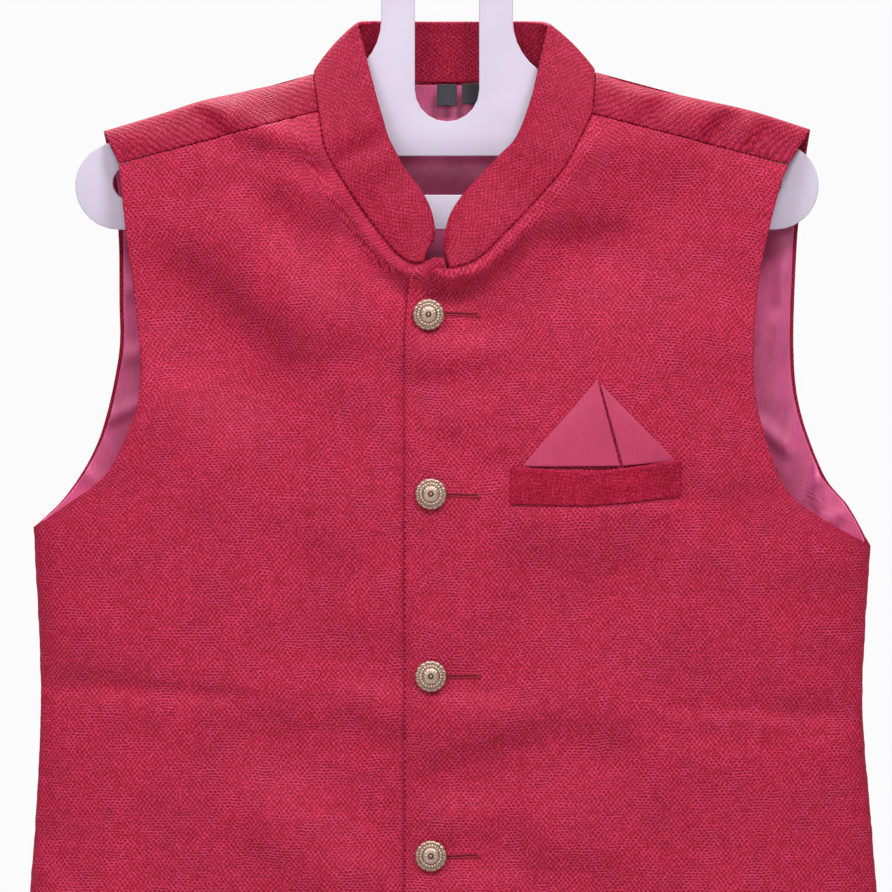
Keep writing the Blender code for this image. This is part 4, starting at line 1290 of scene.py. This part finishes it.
def flap_grid(apex, left, right, probe, lift, free_left):
    """Grid of a three-cornered flap, from its tip down, lifted off the cloth."""
    u = np.linspace(0.0, 1.0, SQUARE_STEPS + 1)[None, :]
    v = np.linspace(SQUARE_TIP, 1.0, SQUARE_STEPS + 1)[:, None]
    x = apex[0] + v * ((left[0] - apex[0]) * (1.0 - u) + (right[0] - apex[0]) * u)
    z = apex[1] + v * ((left[1] - apex[1]) * (1.0 - u) + (right[1] - apex[1]) * u)
    least, at_corner, in_middle = lift
    off = least + at_corner * (1.0 - u if free_left else u) ** 2
    off = off + in_middle * np.sin(math.pi * u) * np.sin(math.pi * v)
    return np.stack([x, probe(x, z) - off, z], axis=-1)


def build_square(probe):
    """Folded square that stands out of the pocket: a wide flap and a narrow one, with a slit between."""
    beside = [(x + SQUARE_SLIT, z + shift) for (x, z), shift in ((SQUARE_APEX, -2.6), (SQUARE_FOLD, 0.1))]
    parts = []
    for apex, left, right, lift, free_left in (
        (SQUARE_APEX, SQUARE_LEFT, SQUARE_FOLD, SQUARE_FRONT_LIFT, False),
        (beside[0], beside[1], SQUARE_RIGHT, SQUARE_REAR_LIFT, True),
    ):
        grid = flap_grid(apex, left, right, probe, lift, free_left)
        parts.append(sheet_parts(grid, flat_normals(grid), grid[..., (0, 2)], 0.0, SQUARE_THICK))
    base = len(parts[0][0])
    faces = parts[0][2] + [tuple(base + k for k in corners) for corners in parts[1][2]]
    made = mesh_object("pocket_square_satin", np.vstack([parts[0][0], parts[1][0]]), faces, SQUARE_SATIN,
                       uv=np.vstack([parts[0][1], parts[1][1]]))
    return stands_for(made, "pocket_square")


# Buttons: how far some lie off their packed places, the profile of the face and of the underside, and the
# relief. The dome is 1 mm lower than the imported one.
BUTTON_RADIUS = 9.25
BUTTON_BACK = 7.4
BUTTON_SHIFT = {1: (-1.4, -0.7), 3: (0.0, -0.9), 4: (0.0, -0.4)}
BUTTON_PROFILE = (  # radius, height off the cloth
    (0, 5.6), (0.5, 5.5), (0.95, 5.05), (1.2, 4.3), (1.6, 4.3), (2.4, 4.25), (3.8, 3.95),
    (4.6, 3.5), (5, 3.1), (5.3, 2.95), (6.1, 3.1), (7, 2.8), (7.9, 2.85), (8.7, 2.45), (9.05, 2.15),
    (9.25, 1.7),
)
BUTTON_UNDER = ((9.3, 1.3), (9.0, 0.95), (BUTTON_BACK, 0.3))
BUTTON_UNDER_SHADE = 0.2
BUTTON_SCALLOP = 0.040
BUTTON_TURN = 0.35
BUTTON_LOBES = 16
BUTTON_BEADS = 22
BUTTON_FLUTES = 12
BUTTON_RESTS = 12
BUTTON_RINGS = 40
BUTTON_SIDES = 192


def button_relief(radius, angle):
    """Cast relief of the button's face: petals on the rim, beads inside them, flutes on the dome.

    Each ring of the relief is a bell about its own radius, and the moats are the dark lines between them.
    """
    petals = np.cos(BUTTON_LOBES / 2 * angle) ** 2
    beads = np.cos(BUTTON_BEADS / 2 * angle) ** 2
    rim = bell(radius - 8.0, 0.75)
    hole = bell(radius - 7.75, 0.34) * petals**6
    ring = bell(radius - 6.15, 0.55)
    on_dome = np.clip((radius - 1.4) / 1.2, 0.0, 1.0), np.clip((4.6 - radius) / 0.8, 0.0, 1.0)
    flutes = np.cos(BUTTON_FLUTES / 2 * angle) ** 2 * on_dome[0] * on_dome[1]
    relief = 0.42 * rim * (petals**0.6 - 0.55) - 0.75 * hole
    relief = relief + 0.36 * ring * (beads**0.7 - 0.45) + 0.08 * flutes
    moats = 0.6 * bell(radius - 5.15, 0.22) + 1.1 * bell(radius - 1.35, 0.3) + 0.7 * bell(radius - 7.05, 0.2)
    shade = 0.55 + 0.9 * relief - 0.5 * moats + 0.10 * flutes
    return relief - 0.12 * moats, np.clip(shade, 0.0, 1.0)


def build_button(number, probe):
    """Cast button with a scalloped rim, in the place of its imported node, with its back on the cloth."""
    low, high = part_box(f"button_{number}")
    shift = BUTTON_SHIFT.get(number, (0.0, 0.0))
    x0, z0 = (low[0] + high[0]) / 2 / MM + shift[0], (low[2] + high[2]) / 2 / MM + shift[1]
    turns = np.linspace(0.0, 2.0 * math.pi, BUTTON_RESTS, endpoint=False)
    ground = probe(x0 + BUTTON_BACK * np.cos(turns), z0 + BUTTON_BACK * np.sin(turns)).min()
    angle = np.linspace(0.0, 2.0 * math.pi, BUTTON_SIDES, endpoint=False)[None, :]
    scallop = 1.0 - BUTTON_SCALLOP * (1.0 - np.abs(np.cos(BUTTON_LOBES / 2 * angle)) ** 0.7)
    turn = BUTTON_TURN * number
    share = np.linspace(0.0, 1.0, BUTTON_RINGS + 1)[1:, None]
    radius = BUTTON_RADIUS * share
    table = np.array(BUTTON_PROFILE)
    relief, shade = button_relief(radius, angle)
    height = np.interp(radius, table[:, 0], table[:, 1]) + relief
    rings = [(radius * scallop, height, shade)]
    for r, h in BUTTON_UNDER:
        rings.append((r * scallop, np.full_like(angle, h), np.full_like(angle, BUTTON_UNDER_SHADE)))
    radius, height, shade = (np.vstack(column) for column in zip(*rings))
    x = x0 + radius * np.cos(angle + turn)
    z = z0 + radius * np.sin(angle + turn)
    points = np.stack([x, ground - height, z], axis=-1).reshape(-1, 3)
    faces = tube_faces(0, len(radius), BUTTON_SIDES)
    last = (len(radius) - 1) * BUTTON_SIDES
    tip, base = len(points), len(points) + 1
    points = np.vstack([points, [(x0, ground - table[0, 1], z0), (x0, ground - BUTTON_UNDER[-1][1], z0)]])
    for k in range(BUTTON_SIDES):
        after = (k + 1) % BUTTON_SIDES
        faces.append((k, after, tip))
        faces.append((last + k, last + after, base))
    shade = np.append(shade.ravel(), (1.0, BUTTON_UNDER_SHADE))
    made = mesh_object(f"button_{number}_brass", points, faces, BRASS, shade=shade)
    return stands_for(made, f"button_{number}")


# Buttonholes in the left front. A hole reaches from beside its packed button's middle to past its rim, a
# little lower. Its slit has this half width and ends before the bar, as the stitches do.
HOLE_REACH = (-1.0, 28.5)
HOLE_RISE = -0.4
HOLE_SAG = 0.5
HOLE_SLIT = 0.26
HOLE_SLIT_END = 1.0
HOLE_LAST_STITCH = 1.4
HOLE_STATIONS = 25
BAR_START = 0.9
BAR_PITCH = 0.5
BAR_THREADS = 4
BAR_HEIGHT = 4.6
BAR_LIFT = 0.5
STITCH_LENGTH = 1.3
STITCH_PITCH = 0.72
STITCH_RADIUS = 0.30
STITCH_LIFT = 0.34
STITCH_SIDES = 6
STITCH_PATH = (  # share of its length, height, thickness
    (0, -0.25, 0.5), (0.2, 0.75, 0.95), (0.5, 1, 1), (0.8, 0.75, 0.95), (1, -0.25, 0.5),
)


def stitch(points, faces, start, end, probe, lift=STITCH_LIFT):
    """One short thread that comes up out of the cloth and goes back in, as points and faces."""
    (x0, z0), (x1, z1) = start, end
    length = math.hypot(x1 - x0, z1 - z0)
    ux, uz = (x1 - x0) / length, (z1 - z0) / length
    base = len(points)
    for share, up, size in STITCH_PATH:
        x, z = x0 + (x1 - x0) * share, z0 + (z1 - z0) * share
        y = float(probe(x, z)) - lift * up
        for turn in range(STITCH_SIDES):
            a = 2.0 * math.pi * turn / STITCH_SIDES
            off = STITCH_RADIUS * size * math.cos(a)
            points.append((x - uz * off, y - STITCH_RADIUS * size * math.sin(a), z + ux * off))
    faces.extend(tube_faces(base, len(STITCH_PATH), STITCH_SIDES))
    faces.append(tuple(range(base + STITCH_SIDES - 1, base - 1, -1)))
    faces.append(tuple(range(len(points) - STITCH_SIDES, len(points))))


def build_buttonhole(number, probe):
    """Worked buttonhole beside its button: close stitches on both lips of a slit, and a bar at the end."""
    low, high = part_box(f"button_{number}")
    x0, z0 = (low[0] + high[0]) / 2 / MM, (low[2] + high[2]) / 2 / MM + HOLE_RISE
    rng = np.random.default_rng(50 + number)
    start, end = x0 + HOLE_REACH[0], x0 + HOLE_REACH[1]

    def middle(x):
        """Height of the hole's line, which sags a little."""
        return z0 + HOLE_SAG * math.sin(3.0 * (x - start) / (end - start) + number)

    points, faces = [], []
    for x in np.arange(start, end - HOLE_LAST_STITCH, STITCH_PITCH):
        z = middle(x)
        for lip in (-1.0, 1.0):
            outer = z + lip * (HOLE_SLIT + STITCH_LENGTH * rng.uniform(0.85, 1.1))
            foot = (x + rng.uniform(-0.08, 0.08), z + lip * HOLE_SLIT)
            stitch(points, faces, foot, (x + rng.uniform(-0.1, 0.1), outer), probe)
    z = middle(end)
    for x in end - BAR_START + BAR_PITCH * np.arange(BAR_THREADS):
        stitch(points, faces, (x, z - BAR_HEIGHT / 2), (x, z + BAR_HEIGHT / 2), probe, BAR_LIFT)
    adds(mesh_object(f"buttonhole_{number}", points, faces, THREAD))
    # A near-black strip along the slit: painted shade where the hole opens onto the cloth below.
    points = []
    for n, x in enumerate(np.linspace(start, end - HOLE_SLIT_END, HOLE_STATIONS)):
        z = middle(x)
        wide = HOLE_SLIT * (0.4 + 0.6 * math.sin(math.pi * n / (HOLE_STATIONS - 1)))
        y = float(probe(x, z))
        for dz, dy in ((-wide, 0.3), (-wide, -0.08), (wide, -0.08), (wide, 0.3)):
            points.append((x, y + dy, z + dz))
    faces = tube_faces(0, HOLE_STATIONS, 4) + [(3, 2, 1, 0), tuple(range(len(points) - 4, len(points)))]
    adds(mesh_object(f"buttonhole_{number}_slit", points, faces, SLIT_SHADE))


# Woven labels: how far they lean out at the foot and curl across, and how their ends dip
LABEL_LEAN = 0.9
LABEL_CURL = 0.35
LABEL_DIP = 0.3
LABEL_GAP = 0.6
LABEL_THICK = 0.7
LABEL_STEPS = 16


def build_label(node):
    """Woven label at the back neck: a folded tape that hangs a little off the lining, and is bare."""
    low, high = (np.array(corner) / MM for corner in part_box(node))
    u = np.linspace(0.0, 1.0, LABEL_STEPS + 1)[None, :]
    v = u.T
    x = low[0] + (high[0] - low[0]) * u
    z = high[2] + (low[2] - high[2]) * v + LABEL_DIP * np.sin(3.0 * u)
    lean = LABEL_LEAN * v**2 + LABEL_CURL * np.sin(math.pi * u) * v
    grid = np.stack(np.broadcast_arrays(x, high[1] - LABEL_GAP - lean, z), axis=-1)
    made = sheet(node + "_tape", grid, flat_normals(grid), grid[..., (0, 2)], LABEL_THICK, TAPE)
    return stands_for(made, node)


# Hanger: width of its rounded edges, and the angles between two faces at which they are one plane, show a
# sharp edge, or are rounded
HANGER_BEVEL = 0.7
FLAT_ANGLE = 1.0
SHARP_ANGLE = 35.0
RIM_ANGLE = 60.0


def build_hanger():
    """The hanger's own shape with its sharp edges rounded, as a moulding has them."""
    made = bpy.data.objects.new("hanger_moulding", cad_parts["hanger"].data.copy())
    bpy.context.scene.collection.objects.link(made)
    bm = bmesh.new()
    bm.from_mesh(made.data)
    bmesh.ops.remove_doubles(bm, verts=bm.verts, dist=0.00001)
    bmesh.ops.dissolve_limit(bm, angle_limit=math.radians(FLAT_ANGLE), verts=bm.verts, edges=bm.edges)
    rim = math.radians(RIM_ANGLE)
    rims = [e for e in bm.edges if len(e.link_faces) == 2 and e.calc_face_angle(0.0) > rim]
    bmesh.ops.bevel(bm, geom=rims, offset=HANGER_BEVEL * MM, segments=3, profile=0.5, affect="EDGES")
    bmesh.ops.triangulate(bm, faces=[f for f in bm.faces if len(f.verts) > 4])
    bm.to_mesh(made.data)
    bm.free()
    made.data.shade_smooth()
    made.data.set_sharp_from_angle(angle=math.radians(SHARP_ANGLE))
    made.data.materials.clear()
    made.data.materials.append(BOARD_FINISH)
    return stands_for(made, "hanger")


# ---------------------------------------------------------------- build

build_front(-1, "front_right")
front_left = build_front(1, "front_left")
build_back()
build_front_lining(-1, "lining_front_right")
build_front_lining(1, "lining_front_left")
build_back_lining()
build_collar()
left_probe = surface_probe(front_left)
build_welt(left_probe)
build_square(left_probe)
for button in range(1, 6):
    build_button(button, left_probe)
    build_buttonhole(button, left_probe)
build_label("label_care")
build_label("label_size")
build_hanger()

# ---------------------------------------------------------------- camera, floor and light

CAMERA_X = -0.6
CAMERA_Z = -312.0
CAMERA_DISTANCE = 4500.0
PHOTO_WIDTH = 524.5
CLOTH_PLANE_Y = -30.0
FLOOR_Z = -860.0
FLOOR_HALF = 1.9

camera = bpy.data.objects.new("camera", bpy.data.cameras.new("camera"))
camera.data.sensor_width = 36.0
camera.data.lens = camera.data.sensor_width * CAMERA_DISTANCE / PHOTO_WIDTH
camera.location = (CAMERA_X * MM, (CLOTH_PLANE_Y - CAMERA_DISTANCE) * MM, CAMERA_Z * MM)
camera.rotation_euler = (math.pi / 2, 0.0, 0.0)
bpy.context.scene.collection.objects.link(camera)
bpy.context.scene.camera = camera


def area_light(name, place, target, size, watts):
    """Square soft light aimed at a target."""
    data = bpy.data.lights.new(name, "AREA")
    data.size = size
    data.energy = watts
    made = bpy.data.objects.new(name, data)
    made.location = place
    back = np.array(place, float) - np.array(target, float)
    across = math.hypot(back[0], back[1])
    made.rotation_euler = (math.atan2(across, back[2]), 0.0, math.atan2(back[0], -back[1]))
    bpy.context.scene.collection.objects.link(made)


CHEST = (0.0, 0.0, -0.35)
NECK = (0.0, 0.0, -0.09)
for light in (  # name, place, target, size, watts
    ("key", (1.35, -2.0, 2.72), CHEST, 1.2, 109.0),
    ("second", (-1.6, -1.95, 2.72), CHEST, 1.3, 82.0),
    ("fill", (-1.4, -2.4, -0.1), CHEST, 1.6, 5.0),
    ("neck", (0.0, -1.3, 0.12), NECK, 0.3, 2.1),
    ("back", (-0.4, 1.6, 2.8), CHEST, 1.2, 190.0),
):
    area_light(*light)

# The world lights the jacket with a dim grey, and is seen as the photo's near white
WORLD_LIGHT = (0.10, 0.10, 0.10, 1.0)
WORLD_SEEN = (0.965, 0.965, 0.965, 1.0)
world = bpy.data.worlds.new("studio")
world.use_nodes = True
sky = world.node_tree
background = sky.nodes["Background"]
background.inputs["Color"].default_value = WORLD_LIGHT
seen = sky.nodes.new("ShaderNodeBackground")
seen.inputs["Color"].default_value = WORLD_SEEN
mixed = sky.nodes.new("ShaderNodeMixShader")
path = sky.nodes.new("ShaderNodeLightPath")
sky.links.new(path.outputs["Is Camera Ray"], mixed.inputs[0])
sky.links.new(background.outputs[0], mixed.inputs[1])
sky.links.new(seen.outputs[0], mixed.inputs[2])
sky.links.new(mixed.outputs[0], sky.nodes["World Output"].inputs[0])
bpy.context.scene.world = world
bpy.context.scene.view_settings.view_transform = "Standard"

floor_mesh = bpy.data.meshes.new("floor")
corners = [(x * FLOOR_HALF, y * FLOOR_HALF, 0.0) for x, y in ((-1, -1), (1, -1), (1, 1), (-1, 1))]
floor_mesh.from_pydata(corners, [], [(0, 1, 2, 3)])
floor = bpy.data.objects.new("floor", floor_mesh)
floor.location = (0.0, 0.0, FLOOR_Z * MM)
paint = Graph("floor_paint", (0.46,) * 3, 0.8)
grey = paint.ramp(paint.noise(paint.place(), 0.5), ((0.3, (0.45,) * 3), (0.7, (0.47,) * 3)))
floor_mesh.materials.append(paint.finish(grey))
bpy.context.scene.collection.objects.link(floor)
